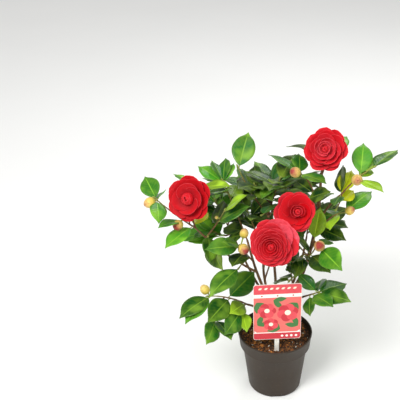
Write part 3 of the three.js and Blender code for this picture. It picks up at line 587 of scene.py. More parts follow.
def lathe(profile, segments):
    """Rings of points round the upright axis, through a closed profile of (radius, height)"""
    angles = np.linspace(0, 2 * math.pi, segments, endpoint=False)
    points = [(r * math.cos(a), r * math.sin(a), z) for r, z in profile for a in angles]
    return points, ring_faces(len(profile), segments)


# Growth


def limb_path(start, through, tip, steps=None):
    """Points of a limb that grows in one bend from its start, through a point halfway, to its tip"""
    start, end = np.asarray(start, float), np.asarray(tip, float)
    bend = 2 * np.asarray(through, float) - 0.5 * start - 0.5 * end
    if steps is None:
        steps = max(2, math.floor(np.linalg.norm(end - start) / LIMB_STEP + 0.5))
    t = np.linspace(0, 1, steps + 1)[:, None]
    return (1 - t) ** 2 * start + 2 * t * (1 - t) * bend + t * t * end


def point_on(path, share):
    """The point at a share of a path whose steps are equal"""
    place = min(max(share, 0), 1) * (len(path) - 1)
    step = min(math.floor(place), len(path) - 2)
    return mix(path[step], path[step + 1], place - step)


def way_on(path, share):
    return unit(point_on(path, share + NEARBY) - point_on(path, share - NEARBY))


def root_on(path, share):
    """Where a leaf or bud roots at a share of its shoot, never at the very end"""
    return point_on(path, min(share, LAST_ROOT))


def make_leaf(root, bearing, rise, length, roll, tint):
    """A leaf's place: its root on the twig, its heading, and its roll about the midrib"""
    along = heading(bearing, rise)
    b, turn = math.radians(bearing), math.radians(roll)
    level = np.array([math.sin(b), -math.cos(b), 0])
    upright = np.cross(level, along)
    return {
        "root": root, "along": along, "length": length, "width": length * LEAF_SLIMNESS, "tint": tint,
        "side": level * math.cos(turn) - upright * math.sin(turn),
        "face": upright * math.cos(turn) + level * math.sin(turn),
    }


def leaf_outline(share):
    """Half width of a leaf blade at a share of its length, as a share of the widest"""
    return np.sin(math.pi * np.clip(share, 0, 1) ** 0.88) ** 0.85


def leaf_points(leaf, share, across):
    """Points of a leaf's blade: shares of its length, and from -1 to 1 across"""
    share, across = share[..., None], across[..., None]
    blade = leaf["length"] - STALK_LENGTH
    half = leaf["width"] / 2 * leaf_outline(share)
    lift = np.abs(across) * LEAF_FOLD * half - LEAF_DROOP * blade * share ** 2
    return (
        leaf["root"] + leaf["along"] * (STALK_LENGTH + share * blade)
        + leaf["side"] * across * half + leaf["face"] * lift
    )


class Room:
    """Sample points of everything placed: where, least distance, owner, and whether on a leaf"""

    def __init__(self):
        self.points, self.reach = np.zeros((0, 3)), np.zeros(0)
        self.owner, self.on_leaf = np.zeros(0, str), np.zeros(0, bool)

    def take(self, points, reach, owner, on_leaf):
        count = len(points)
        self.points = np.concatenate([self.points, points])
        self.reach = np.concatenate([self.reach, np.broadcast_to(reach, (count,))])
        self.owner = np.concatenate([self.owner, np.full(count, owner)])
        self.on_leaf = np.concatenate([self.on_leaf, np.full(count, on_leaf)])

    def take_path(self, path, radii, owner):
        count = math.ceil(len(path) * LIMB_STEP / SAMPLE_STEP)
        points = np.array([point_on(path, i / count) for i in range(count + 1)])
        self.take(points, radii(np.arange(count + 1) / count) + LIMB_CLEAR, owner, False)

    def touches(self, leaf, owner, ruled, clear=None):
        points = leaf_points(leaf, *SAMPLE_GRID).reshape(-1, 3)
        blooms = grown_blooms_places().values()
        if at_card(points).any() or any(in_blossom(points, bloom).any() for bloom in blooms):
            return True
        near = ((self.points > points.min(0) - NEAR_BOX) & (self.points < points.max(0) + NEAR_BOX)).all(1)
        gaps = np.linalg.norm(points[:, None] - self.points[near], axis=2)
        own, on_leaf = self.owner[near] == owner, self.on_leaf[near]
        reach = np.where(own, OWN_LEAF_CLEAR, self.reach[near])
        if clear is not None:
            reach = np.where(on_leaf & ~own, clear, reach)
        hit = gaps < reach
        hit[:, own & ~on_leaf] = False
        if not ruled:
            hit[:, own] = False
        hit[np.ix_(SAMPLE_GRID[0].ravel() < SHADED_SHARE, own)] = False
        return bool(hit.any())


def in_blossom(points, bloom):
    """Whether points lie in the room of a blossom, a shallow cone behind its rim and a cushion before it"""
    offset = points - bloom["centre"]
    ahead = offset @ bloom["front"]
    out = np.sqrt(np.maximum(0, (offset ** 2).sum(1) - ahead ** 2))
    back = -CUP_DEPTH - BLOSSOM_ROOM["behind"] + BLOSSOM_ROOM["rise"] * out / bloom["radius"]
    inside = out < bloom["radius"] + BLOSSOM_ROOM["beside"]
    return inside & (ahead < BLOSSOM_ROOM["before"]) & (ahead > back)


def at_card(points):
    """Whether points lie at the label's card"""
    turn = math.radians(CARD_TURN)
    x, y = points[:, 0] - CARD_PLACE[0], points[:, 1] - CARD_PLACE[1]
    aside = np.abs(x * math.cos(turn) + y * math.sin(turn))
    behind = np.abs(y * math.cos(turn) - x * math.sin(turn))
    middle = np.abs(points[:, 2] - CARD_FOOT - CARD_HEIGHT / 2)
    near = (behind < CARD_CLEAR) & (aside < CARD_WIDTH / 2 + CARD_CLEAR)
    return near & (middle < CARD_HEIGHT / 2 + CARD_CLEAR)


def ruled_leaf(part, order, count, draw, attempt, lengths):
    """The rule for a shoot's own leaves: round it by the golden angle, opening less towards its tip"""
    share = mix(BARE_SHARE, 1, (order + 1) / count)
    way = way_on(part["path"], share)
    across = unit(np.cross((0, 0, 1), way))
    over = np.cross(way, across)
    turn = math.radians(part["first"] + order * GOLDEN_ANGLE + attempt * RETRY_ANGLE)
    opening = math.radians(mix(*OPENING, share) + OPENING_SPREAD * (draw() - 0.5))
    aim = way * math.cos(opening)
    aim = aim + (across * math.cos(turn) + over * math.sin(turn)) * math.sin(opening)
    bearing = math.degrees(math.atan2(aim[1], aim[0]))
    rise = min(max(math.degrees(math.asin(aim[2])) * LEVELLING, -STEEPEST), STEEPEST)
    length = mix(*lengths, draw())
    roll = ROLL_SPREAD * (draw() - 0.5)
    return make_leaf(root_on(part["path"], share), bearing, rise, length, roll, part["tint"])


@lru_cache(maxsize=None)
def grown_limbs():
    """Trunk, boughs and flowering twigs by name: path, bend points and radii"""
    limbs = {}

    def add(name, start, through, tip, radii):
        limbs[name] = {
            "path": limb_path(start, through, tip), "bend": (start, through, tip), "radii": radii,
        }

    def trunk_radii(share):
        return mix(*TRUNK["radii"], share) + ROOT_FLARE * (1 - share) ** FLARE_FALL

    add("trunk", np.array([0, 0, MIX_TOP - TRUNK_SUNK], float), TRUNK["through"], TRUNK["tip"], trunk_radii)
    for name, (parent, at, through, tip, radii) in BOUGHS.items():
        start = point_on(limbs[parent]["path"], at)
        add(name, start, through, tip, lambda share, radii=radii: mix(*radii, share))
    for name, bloom in grown_blooms_places().items():
        parent, at, through = BLOOMS[name][:3]
        tip = bloom["centre"] - bloom["front"] * CUP_DEPTH
        add(name, point_on(limbs[parent]["path"], at), through, tip, lambda share: mix(*TWIG_RADII, share))
    return limbs


@lru_cache(maxsize=None)
def grown_blooms_places():
    """Blossoms by name: centre, radius and axes"""
    blooms = {}
    for name, (_, _, _, centre, face, radius) in BLOOMS.items():
        front = heading(*face)
        right = np.array([-math.sin(math.radians(face[0])), math.cos(math.radians(face[0])), 0])
        blooms[name] = {
            "centre": np.array(centre, float), "front": front, "right": right,
            "top": np.cross(front, right), "radius": radius,
        }
    return blooms


@lru_cache(maxsize=None)
def grown_masses():
    """Every mass with its shoots and leaves, by the rule that the solids grow by, then the finer leaves"""
    limbs, room = grown_limbs(), Room()
    for name, limb in limbs.items():
        room.take_path(limb["path"], limb["radii"], name)

    def grown(sprout, start):
        sprout = dict(sprout, start=start)
        return dict(sprout, path=limb_path(start, sprout["through"], sprout["tip"]))

    masses = []
    for name, stem in MASSES.items():
        stem = grown(stem, point_on(limbs[stem["on"]]["path"], stem["at"]))
        shoots = [stem] + [grown(part, point_on(stem["path"], part["at"])) for part in stem["shoots"]]
        for part in shoots:
            room.take_path(part["path"], lambda share: mix(*TWIG_RADII, share), name)
        masses.append({"name": name, "shoots": shoots, "leaves": []})

    def add_leaf(mass, leaf, ruled, clear=None):
        if room.touches(leaf, mass["name"], ruled, clear):
            return False
        room.take(leaf_points(leaf, *SAMPLE_GRID).reshape(-1, 3), LEAF_CLEAR, mass["name"], True)
        mass["leaves"].append(leaf)
        return True

    def by_rule(seed, lengths, number, clear=None):
        for order, mass in enumerate(masses):
            draw = seeded_random(seed + order)
            for part in mass["shoots"]:
                count = number(part)
                for i in range(count):
                    for attempt in range(RETRIES):
                        if add_leaf(mass, ruled_leaf(part, i, count, draw, attempt, lengths), True, clear):
                            break

    for mass in masses:
        for part in mass["shoots"]:
            for at, bearing, rise, length, roll, tint in part["leaves"]:
                add_leaf(mass, make_leaf(root_on(part["path"], at), bearing, rise, length, roll, tint), False)
    by_rule(FIRST_SEED, RULED_LENGTH, lambda part: part["ruled"])
    for mass in masses:
        for part in mass["shoots"]:
            for at, bearing, rise, stalk, radius, _ in part["buds"]:
                centre = root_on(part["path"], at) + heading(bearing, rise) * (stalk + radius * BUD_ON_STALK)
                room.take(np.array([centre]), radius + BUD_CLEAR, "bud", False)
    by_rule(FINER_SEED, FINER_LENGTH, lambda part: FINER_PER_SHOOT if part["ruled"] else 0, FINER_CLEAR)
    carrier = next(mass for mass in masses if mass["name"] == SPRIG_MASS)
    for parent, at, tip in SPRIGS:
        start = point_on(limbs[parent]["path"], at)
        through = mix(start, np.array(tip, float), 0.5) + (0, 0, SPRIG_RISE)
        carrier["shoots"].append(grown(dict(shoot(at, through, tip, "deep"), sprig=True), start))
    by_rule(SPRIG_SEED, SPRIG_LENGTH, lambda part: SPRIG_LEAVES if "sprig" in part else 0, FINER_CLEAR)
    return masses


# Nodes


def add_node(tree, kind, inputs=(), out=0, stops=(), **settings):
    """The output of a new node with its settings, its inputs set to values or linked to outputs"""
    made = tree.nodes.new("ShaderNode" + kind)
    for name, value in settings.items():
        setattr(made, name, value)
    for _ in stops[2:]:
        made.color_ramp.elements.new(0.5)
    if stops:
        for element, (place, colour) in zip(made.color_ramp.elements, stops):
            element.position = place
            element.color = colour
    for socket, value in inputs.items() if isinstance(inputs, dict) else enumerate(inputs):
        if isinstance(value, bpy.types.NodeSocket):
            tree.links.new(value, made.inputs[socket])
        else:
            made.inputs[socket].default_value = value
    return made.outputs[out] if len(made.outputs) else None


def finish_material(name, build, constants):
    """A material from a function that gives the linked inputs of its shader, and the shader's constants"""
    made = bpy.data.materials.new(name)
    made.use_nodes = True
    made.node_tree.nodes.clear()
    add = partial(add_node, made.node_tree)
    add("OutputMaterial", (add("BsdfPrincipled", {**constants, **build(add)}),))
    return made


def shade(colour, factor):
    return tuple(min(1.0, c * factor) for c in colour[:3]) + (1.0,)


def mottled_material(name, dark, light, blob, constants, spread=(0.3, 0.7), detail=3.0):
    """A finish clouded between two colours, in blobs of a size in millimetres"""

    def build(add):
        place = add("TexCoord", out=3)
        cloud = add("TexNoise", {"Vector": place, "Scale": 1 / (blob * MM), "Detail": detail})
        return {"Base Color": add("ValToRGB", (cloud,), stops=tuple(zip(spread, (dark, light))))}

    return finish_material(name, build, constants)


def leaf_material(name, colour):
    """Camellia leaf, upper side: a thick waxy cuticle over green, so it is glossy, with a pale midrib and
    painted highlights
    """
    flush = tuple(mix(c, y, 0.3) for c, y in zip(colour, linear("a9c23a")))

    def build(add):
        place = add("TexCoord", out=3)
        tone, share, across = (add("Attribute", out=2, attribute_name=n) for n in ("tone", "share", "across"))
        across = add("Math", (across,), operation="ABSOLUTE")
        stops = ((0.0, shade(colour, 0.62)), (0.5, colour), (1.0, shade(colour, 1.4)))
        body = add("ValToRGB", (tone,), stops=stops)
        # Yellower towards the tip and the margin, and in patches of 18 mm, as a leaf ripens unevenly
        patch = add("TexNoise", {"Vector": place, "Scale": 1 / (18 * MM), "Detail": 2})
        ripe = add("MapRange", (patch, 0.42, 0.72, 0.0, 0.6))
        for source, low, high, most in ((share, 0.55, 1.0, 0.55), (across, 0.72, 1.0, 0.5)):
            ripe = add("Math", (ripe, add("MapRange", (source, low, high, 0.0, most))), operation="MAXIMUM")
        body = add("Mix", {0: ripe, 6: body, 7: flush}, 2, data_type="RGBA")
        # Painted highlights: pale patches of 30 mm stand in for the lamps' glossy reflections on the wax
        bloom = add("TexNoise", {"Vector": place, "Scale": 1 / (30 * MM), "Detail": 1})
        bloom = add("MapRange", (bloom, 0.5, 0.74, 0.0, 0.6))
        # Nine side veins on each half, sloping to the tip
        slope = add("Math", (across, -0.22, share), operation="MULTIPLY_ADD")
        wave = add("Math", (slope, 9 * 2 * math.pi), operation="MULTIPLY")
        wave = add("Math", (wave,), operation="COSINE")
        vein = add("MapRange", (wave, 0.86, 1.0, 0.0, 0.17))
        rib = add("MapRange", (across, 0.02, 0.08, 0.75, 0.0))
        # Mixed in paler: the painted highlight patches, then the side veins and the midrib
        for factor, paler in ((bloom, 2.1), (vein, 1.4), (rib, 1.8)):
            body = add("Mix", {0: factor, 6: body, 7: shade(flush, paler)}, 2, data_type="RGBA")
        bump = add("Bump", {"Height": wave, "Strength": 0.35, "Distance": 0.25 * MM})
        return {"Base Color": body, "Normal": bump}

    wax = {
        "Roughness": 0.34, "IOR": 1.42, "Specular IOR Level": 0.25,
        "Coat Weight": 0.2, "Coat Roughness": 0.08,
    }
    return finish_material(name, build, wax)


def underside_material():
    """Camellia leaf, underside: no wax and full of air, so it is paler, yellower and matt"""
    matt = {"Roughness": 0.6, "IOR": 1.42}
    return mottled_material("leaf_underside_matt", linear("6f9a3e"), linear("8db356"), 9, matt)


def young_stem_material():
    """Young stem and leaf stalk: soft green skin with a faint gloss, reddening in the sun"""
    skin = {"Roughness": 0.5, "IOR": 1.45}
    return mottled_material("young_stem_green", linear("8fae4c"), linear("9c8a4a"), 12, skin, (0.3, 0.75))


def twig_material():
    """Year-old twig: smooth thin bark, brown at the foot and green where it still grows"""

    def build(add):
        age = add("Attribute", out=2, attribute_name="age")
        stops = ((0.0, linear("6b4428")), (0.55, linear("7d5a2f")), (1.0, linear("86923e")))
        body = add("ValToRGB", (age,), stops=stops)
        # Lenticels, as flecks of 2.5 mm
        fleck = add("TexNoise", {"Vector": add("TexCoord", out=3), "Scale": 1 / (2.5 * MM), "Detail": 4})
        factor = add("MapRange", (fleck, 0.45, 0.75, 0.0, 0.6))
        body = add("Mix", {0: factor, 6: body, 7: linear("4b2f1c")}, 2, data_type="RGBA")
        bump = add("Bump", {"Height": fleck, "Strength": 0.5, "Distance": 0.3 * MM})
        return {"Base Color": body, "Normal": bump}

    return finish_material("twig_bark_thin", build, {"Roughness": 0.65})


def bark_material():
    """Camellia bark: thin, grey-brown and matt, split lengthwise in fine lines"""

    def build(add):
        place = add("TexCoord", out=3)
        # Fissures about 1.6 mm wide and six times as long
        upright = add("Mapping", {"Vector": place, "Scale": (1, 1, 0.16)})
        lines = add("TexNoise", {"Vector": upright, "Scale": 1 / (1.6 * MM), "Detail": 5})
        stops = ((0.3, linear("3a2415")), (0.5, linear("6d4a2d")), (0.72, linear("97704a")))
        body = add("ValToRGB", (lines,), stops=stops)
        # A grey film of algae in patches of 14 mm
        film = add("TexNoise", {"Vector": place, "Scale": 1 / (14 * MM), "Detail": 3})
        film = add("MapRange", (film, 0.5, 0.75, 0.0, 0.45))
        body = add("Mix", {0: film, 6: body, 7: linear("8a8064")}, 2, data_type="RGBA")
        bump = add("Bump", {"Height": lines, "Strength": 0.8, "Distance": 0.6 * MM})
        return {"Base Color": body, "Normal": bump}

    return finish_material("camellia_bark", build, {"Roughness": 0.85})


def petal_material():
    """Camellia petal: thick velvety tissue with no wax, crimson, with painted shade in the cup and painted
    highlights on its rim
    """

    def build(add):
        names = ("share", "tone", "margin", "across")
        share, tone, margin, across = (add("Attribute", out=2, attribute_name=n) for n in names)
        # Painted shade: darkest at the petal's foot, deep in the cup, brightest towards its rim
        stops = ((0.0, linear("5a0208")), (0.5, linear("b2060f")), (1.0, linear("cc0a18")))
        body = add("ValToRGB", (share,), stops=stops)
        # Cells catch the light in soft streaks of 6 mm
        streak = add("TexNoise", {"Vector": add("TexCoord", out=3), "Scale": 1 / (6 * MM), "Detail": 3})
        streak = add("MapRange", (streak, 0.3, 0.7, 0.6, 1.25))
        # Painted highlight: each petal's pale share, broken up by the streaks, pales it towards pink
        tone = add("Math", (tone, streak), operation="MULTIPLY", use_clamp=True)
        body = add("Mix", {0: tone, 6: body, 7: linear("e65564")}, 2, data_type="RGBA")
        # Painted highlight: a pale line along each petal's rim
        painted_rim_highlight = add("MapRange", (margin, 0.0, 1.0, 0.0, 0.5))
        body = add("Mix", {0: painted_rim_highlight, 6: body, 7: linear("f26a72")}, 2, data_type="RGBA")
        # Veins fan out along the petal
        fan = add("Math", (across, 40.0), operation="MULTIPLY")
        vein = add("Math", (fan,), operation="COSINE")
        bump = add("Bump", {"Height": vein, "Strength": 0.15, "Distance": 0.15 * MM})
        return {"Base Color": body, "Normal": bump}

    velvet = {
        "Roughness": 0.55, "Subsurface Weight": 0.08, "Subsurface Scale": 2 * MM, "Specular IOR Level": 0.1,
    }
    return finish_material("petal_velvet", build, velvet)


def bract_material():
    """Bud scales: leathery and downy, olive to straw yellow, and dark red where the petals show at the tip"""

    def build(add):
        share, tone, margin = (add("Attribute", out=2, attribute_name=n) for n in ("share", "tone", "margin"))
        stops = (
            (0.0, linear("8c9832")), (0.35, linear("d6be46")),
            (0.75, linear("eccf74")), (1.0, linear("e6c486")),
        )
        body = add("ValToRGB", (share,), stops=stops)
        fleck = add("TexNoise", {"Vector": add("TexCoord", out=3), "Scale": 1 / (4 * MM), "Detail": 3})
        fleck = add("MapRange", (fleck, 0.5, 0.75, 0.0, 0.3))
        tip = add("MapRange", (share, 0.55, 0.95, 0.06, 1.4))
        ripe = add("Math", (tip, tone), operation="MULTIPLY", use_clamp=True)
        edge = add("MapRange", (margin, 0.4, 1.0, 0.0, 0.5))
        for factor, colour in ((fleck, "c08444"), (ripe, "a4322c"), (edge, "6e4a22")):
            body = add("Mix", {0: factor, 6: body, 7: linear(colour)}, 2, data_type="RGBA")
        return {"Base Color": body}

    return finish_material("bud_scale_downy", build, {"Roughness": 0.55, "Sheen Weight": 0.15})


def pot_material(colour):
    """Nursery pot: moulded recycled polypropylene, matt taupe, with flow marks and fine dust"""

    def build(add):
        place = add("TexCoord", out=3)
        # Flow marks of 35 mm, drawn out upwards
        drawn = add("Mapping", {"Vector": place, "Scale": (1, 1, 0.35)})
        cloud = add("TexNoise", {"Vector": drawn, "Scale": 1 / (35 * MM), "Detail": 4})
        body = add("ValToRGB", (cloud,), stops=((0.3, shade(colour, 0.86)), (0.7, shade(colour, 1.14))))
        # Moulding grain of 0.8 mm, coarser than the real one so that it shows
        grain = add("TexNoise", {"Vector": place, "Scale": 1 / (0.8 * MM), "Detail": 2})
        dust = add("TexNoise", {"Vector": place, "Scale": 1 / (6 * MM), "Detail": 6})
        dust = add("MapRange", (dust, 0.58, 0.8, 0.0, 0.25))
        body = add("Mix", {0: dust, 6: body, 7: linear("5e5244")}, 2, data_type="RGBA")
        rough = add("MapRange", (cloud, 0.3, 0.7, 0.46, 0.6))
        bump = add("Bump", {"Height": grain, "Strength": 0.2, "Distance": 0.2 * MM})
        return {"Base Color": body, "Roughness": rough, "Normal": bump}

    return finish_material("moulded_polypropylene", build, {"IOR": 1.49, "Specular IOR Level": 0.35})


def crumb_material(name, dark, light, roughness=0.95):
    """A crumb of the potting mix: damp and matt, mottled between two colours"""

    def build(add):
        place = add("TexCoord", out=3)
        cloud, relief = (
            add("TexNoise", {"Vector": place, "Scale": 1 / (size * MM), "Detail": 5}) for size in (2.2, 1.2)
        )
        body = add("ValToRGB", (cloud,), stops=((0.3, linear(dark)), (0.7, linear(light))))
        bump = add("Bump", {"Height": relief, "Strength": 0.8, "Distance": 0.6 * MM})
        return {"Base Color": body, "Normal": bump}

    return finish_material(name, build, {"Roughness": roughness})


def print_material(name, colour):
    """Printed card under a gloss film: one flat ink with a faint paper cloudiness"""
    film = {"Roughness": 0.38, "IOR": 1.5}
    return mottled_material(name, shade(colour, 0.95), shade(colour, 1.04), 7, film)


def stick_material():
    """Label stick: white polystyrene, moulded, with a soft gloss and a faint cloudiness"""
    dark, light, gloss = linear("e2ddd0"), linear("f4f1e8"), {"Roughness": 0.42, "IOR": 1.59}
    return mottled_material("white_polystyrene", dark, light, 5, gloss, (0.35, 0.65), 4)


def floor_material(colour):
    """Studio floor: matt painted board, almost white"""
    return mottled_material("matt_white_board", shade(colour, 0.985), colour, 400, {"Roughness": 0.9})


# Pieces


def blade_grid(leaf, draw):
    """Front points of a leaf's blade, with its teeth, waves and turned tip, and the shares of each point"""
    share, across = np.meshgrid(np.linspace(0, 1, LEAF_TEETH + 1), LEAF_ACROSS, indexing="ij")
    tooth = np.arange(LEAF_TEETH + 1)[:, None] % 2
    edge = np.abs(across)
    blade = leaf["length"] - STALK_LENGTH
    half = leaf["width"] / 2 * leaf_outline(share) * mix(0.94, 1.04, draw())
    half = half * (1 - 0.42 * smooth_step(0.76, 0.97, share))
    half = half + TOOTH * tooth * smooth_step(0.15, 0.35, share) * (1 - smooth_step(0.9, 1, share))
    half = np.maximum(half, 0.25)
    waves, phase, other_phase = 1.2 + draw(), 2 * math.pi * draw(), 2 * math.pi * draw()
    ripple = np.sin(2 * math.pi * waves * share + np.where(across > 0, phase, other_phase))
    lift = LEAF_FOLD * mix(0.8, 1.5, draw()) * edge ** 1.2 * half
    lift = lift - LEAF_DROOP * blade * share ** 2 - 0.03 * blade * smooth_step(0.8, 1, share) * draw()
    lift = lift + 0.9 * ripple * edge ** 2 * np.sin(math.pi * share) - 0.5 * edge ** 4
    lift = lift - 0.35 * (edge < 0.05)
    sway = mix(-0.04, 0.04, draw()) * blade * share ** 2
    front = (
        leaf["root"] + leaf["along"] * (STALK_LENGTH + share * blade)[..., None]
        + leaf["side"] * (across * half + sway)[..., None] + leaf["face"] * lift[..., None]
    )
    return front, share, across, edge


def leaf_rib(leaf, front):
    """Points and radii of the stalk, which runs on under the blade as its midrib"""
    middle = front[:, front.shape[1] // 2]
    under = middle[[0, 3, 8, 14, 20, 26, 31]] - leaf["face"] * 0.35
    stalk = [leaf["root"] - leaf["along"], mix(leaf["root"], middle[0], 0.5) - leaf["face"] * 0.3]
    path = np.concatenate([np.array(stalk), under])
    return path, np.array([1.25, 1.05, 1.0, 0.9, 0.75, 0.62, 0.5, 0.38, 0.25])


def leaf_pieces():
    """Every leaf, joined by tint"""
    under, stem = underside_material(), young_stem_material()
    settings = bpy.context.scene.camellia_foliage
    draw = seeded_random(LEAF_SEED)
    heaps = {tint: Heap("share", "across", "tone") for tint in LEAF_TINTS}
    owners = {tint: set() for tint in LEAF_TINTS}
    quads = sheet_faces(LEAF_TEETH + 1, len(LEAF_ACROSS))
    grid = LEAF_TEETH * (len(LEAF_ACROSS) - 1)
    sides = [0, 1] * grid + [0] * (len(quads) - 2 * grid)
    for mass in grown_masses():
        for leaf in mass["leaves"]:
            front, share, across, edge = blade_grid(leaf, draw)
            thickness = BLADE_THICKNESS * (1 - 0.45 * edge ** 3)
            heap, tone = heaps[leaf["tint"]], draw()
            heap.add_sheet(front, thickness, quads, sides, share=share, across=across, tone=tone)
            heap.add(*tube(*leaf_rib(leaf, front), 6), 2, tone=tone)
            owners[leaf["tint"]].add(mass["name"])
    for tint, heap in heaps.items():
        upper = leaf_material("waxy_leaf_" + tint, (*getattr(settings, tint), 1.0))
        heap.piece("leaves_" + tint, [upper, under, stem], "foliage", sorted(owners[tint]))


def twig_piece():
    """Every twig, with a swelling at each leaf and a pointed growth bud at each tip, joined"""
    heap = Heap("age")
    for mass in grown_masses():
        for part in mass["shoots"]:
            steps = max(8, int(np.linalg.norm(np.subtract(part["tip"], part["start"])) / TWIG_STEP))
            path = limb_path(part["start"], part["through"], part["tip"], steps)
            share = np.linspace(0, 1, steps + 1)
            radii = mix(*TWIG_RADII, share) * (1 + 0.12 * np.cos(share * steps / 3 * 2 * math.pi))
            heap.add(*tube(path, radii, TWIG_SIDES), age=np.repeat(share, TWIG_SIDES))
            way = unit(path[-1] - path[-2])
            tip = np.array([path[-1] + way * reach for reach in (-0.5, 1.2, 3.5, 6, 7.5)])
            heap.add(*tube(tip, (1.1, 1.9, 2.1, 1.1, 0.15), 8), age=1.0)
        for leaf in mass["leaves"]:
            knuckle = [leaf["root"] - leaf["along"] * 0.8, leaf["root"] + leaf["along"] * 2.2]
            heap.add(*tube(knuckle, (1.6, 1.15), 8), age=0.8)
    share = np.linspace(0, 1, 25)
    for name in BLOOMS:
        path = limb_path(*grown_limbs()[name]["bend"], len(share) - 1)
        heap.add(*tube(path, mix(*TWIG_RADII, share), TWIG_SIDES), age=np.repeat(share, TWIG_SIDES) * 0.8)
    heap.piece("twigs", [twig_material()], "foliage", [*MASSES, *BLOOMS])


def limb_piece():
    """Trunk and boughs with their bark in relief, joined"""
    heap = Heap()
    names = ["trunk", *BOUGHS]
    for order, name in enumerate(names):
        limb = grown_limbs()[name]
        start, through, tip = limb["bend"]
        steps = int(np.linalg.norm(np.subtract(tip, start)) / BARK_STEP)
        path = limb_path(start, through, tip, steps)
        # Limbs wander a little between their leaf scars
        for axis in range(3):
            drift = [noise.noise(Vector((0.035 * i, axis * 9.1, order * 5.3))) for i in range(steps + 1)]
            path[:, axis] += 1.6 * np.array(drift) * np.sin(math.pi * np.linspace(0, 1, steps + 1))
        sides, swelling = (TRUNK_SIDES, 0) if name == "trunk" else (BOUGH_SIDES, FORK_SWELLING)
        radii = np.empty((steps + 1, sides))
        for i in range(steps + 1):
            base = float(limb["radii"](i / steps))
            collar = 1 + swelling * math.exp(-i * BARK_STEP / FORK_REACH)
            for j in range(sides):
                turn = 2 * math.pi * j / sides
                x, y = math.cos(turn) * base * 0.5, math.sin(turn) * base * 0.5
                spot = Vector((x, y, i * 0.22 + order * 31))
                fissure = abs(noise.noise(spot * 1.4))
                swell = noise.noise(Vector((spot.x * 0.3, spot.y * 0.3, spot.z * 0.25)))
                radii[i, j] = base * collar * (1 + 0.1 * swell + 0.09 * fissure - 0.05)
        heap.add(*tube(path, radii, sides))
    heap.piece("trunk_and_boughs", [bark_material()], "bark", names)


def petal_points(axes, profile, turn, half, fall=0.17, loose=0.0, draw=None):
    """Front points of a petal or bud scale on a profile round an axis, with its shares and margin"""
    t, u = np.meshgrid(PETAL_ALONG, PETAL_ACROSS, indexing="ij")
    notch, wave, phase, tilt, lean = (draw() for _ in range(5)) if draw else (0, 0, 0, 0, 0.5)
    phase = 2 * math.pi * phase
    blunt = 1 - fall * np.abs(u) ** 2.3 - 0.05 * loose * notch * np.exp(-((u / 0.16) ** 2))
    blunt = blunt + 0.03 * loose * np.sin(4.2 * u + phase)
    broad = 0.3 + 0.7 * np.sin(math.pi / 2 * np.minimum(1, t / 0.72))
    broad = broad - 0.12 * np.maximum(0, (t - 0.72) / 0.28) ** 2
    r, h = profile(t * blunt)
    r = r * (1 + 0.12 * (lean - 0.5) * u * t)
    angle = turn + u * half * broad / np.maximum(np.abs(r), 0.55 * half)
    h = h + (1.5 + 2 * tilt) * loose * u * t + 2 * loose * wave * np.sin(3.1 * u + phase) * t ** 3
    ring = np.cos(angle)[..., None] * axes["right"] + np.sin(angle)[..., None] * axes["top"]
    front = axes["centre"] + ring * r[..., None] + axes["front"] * h[..., None]
    margin = np.maximum(t > 0.99, (np.abs(u) > 0.99) * smooth_step(0.3, 0.6, t))
    return front, t, u, margin


def bent_profile(foot, belly, rim, flare=0.0):
    """Radius and height along a petal that leaves its foot, swells through a belly and ends at its rim"""

    def at(y):
        r = (1 - y) ** 2 * foot[0] + 2 * y * (1 - y) * belly[0] + y * y * rim[0]
        h = (1 - y) ** 2 * foot[1] + 2 * y * (1 - y) * belly[1] + y * y * rim[1]
        return r, h - flare * y ** 7

    return at


def egg_profile(radius, lift, end):
    """Radius and height along a scale that wraps an egg from its foot to an end angle in degrees"""

    def at(y):
        angle = np.radians(mix(SCALE_FOOT, end, y))
        point = 0.16 * radius * np.maximum(0, np.sin(angle)) ** 6
        return radius * np.cos(angle) + lift * y, radius * BUD_LENGTHENING * np.sin(angle) + point

    return at


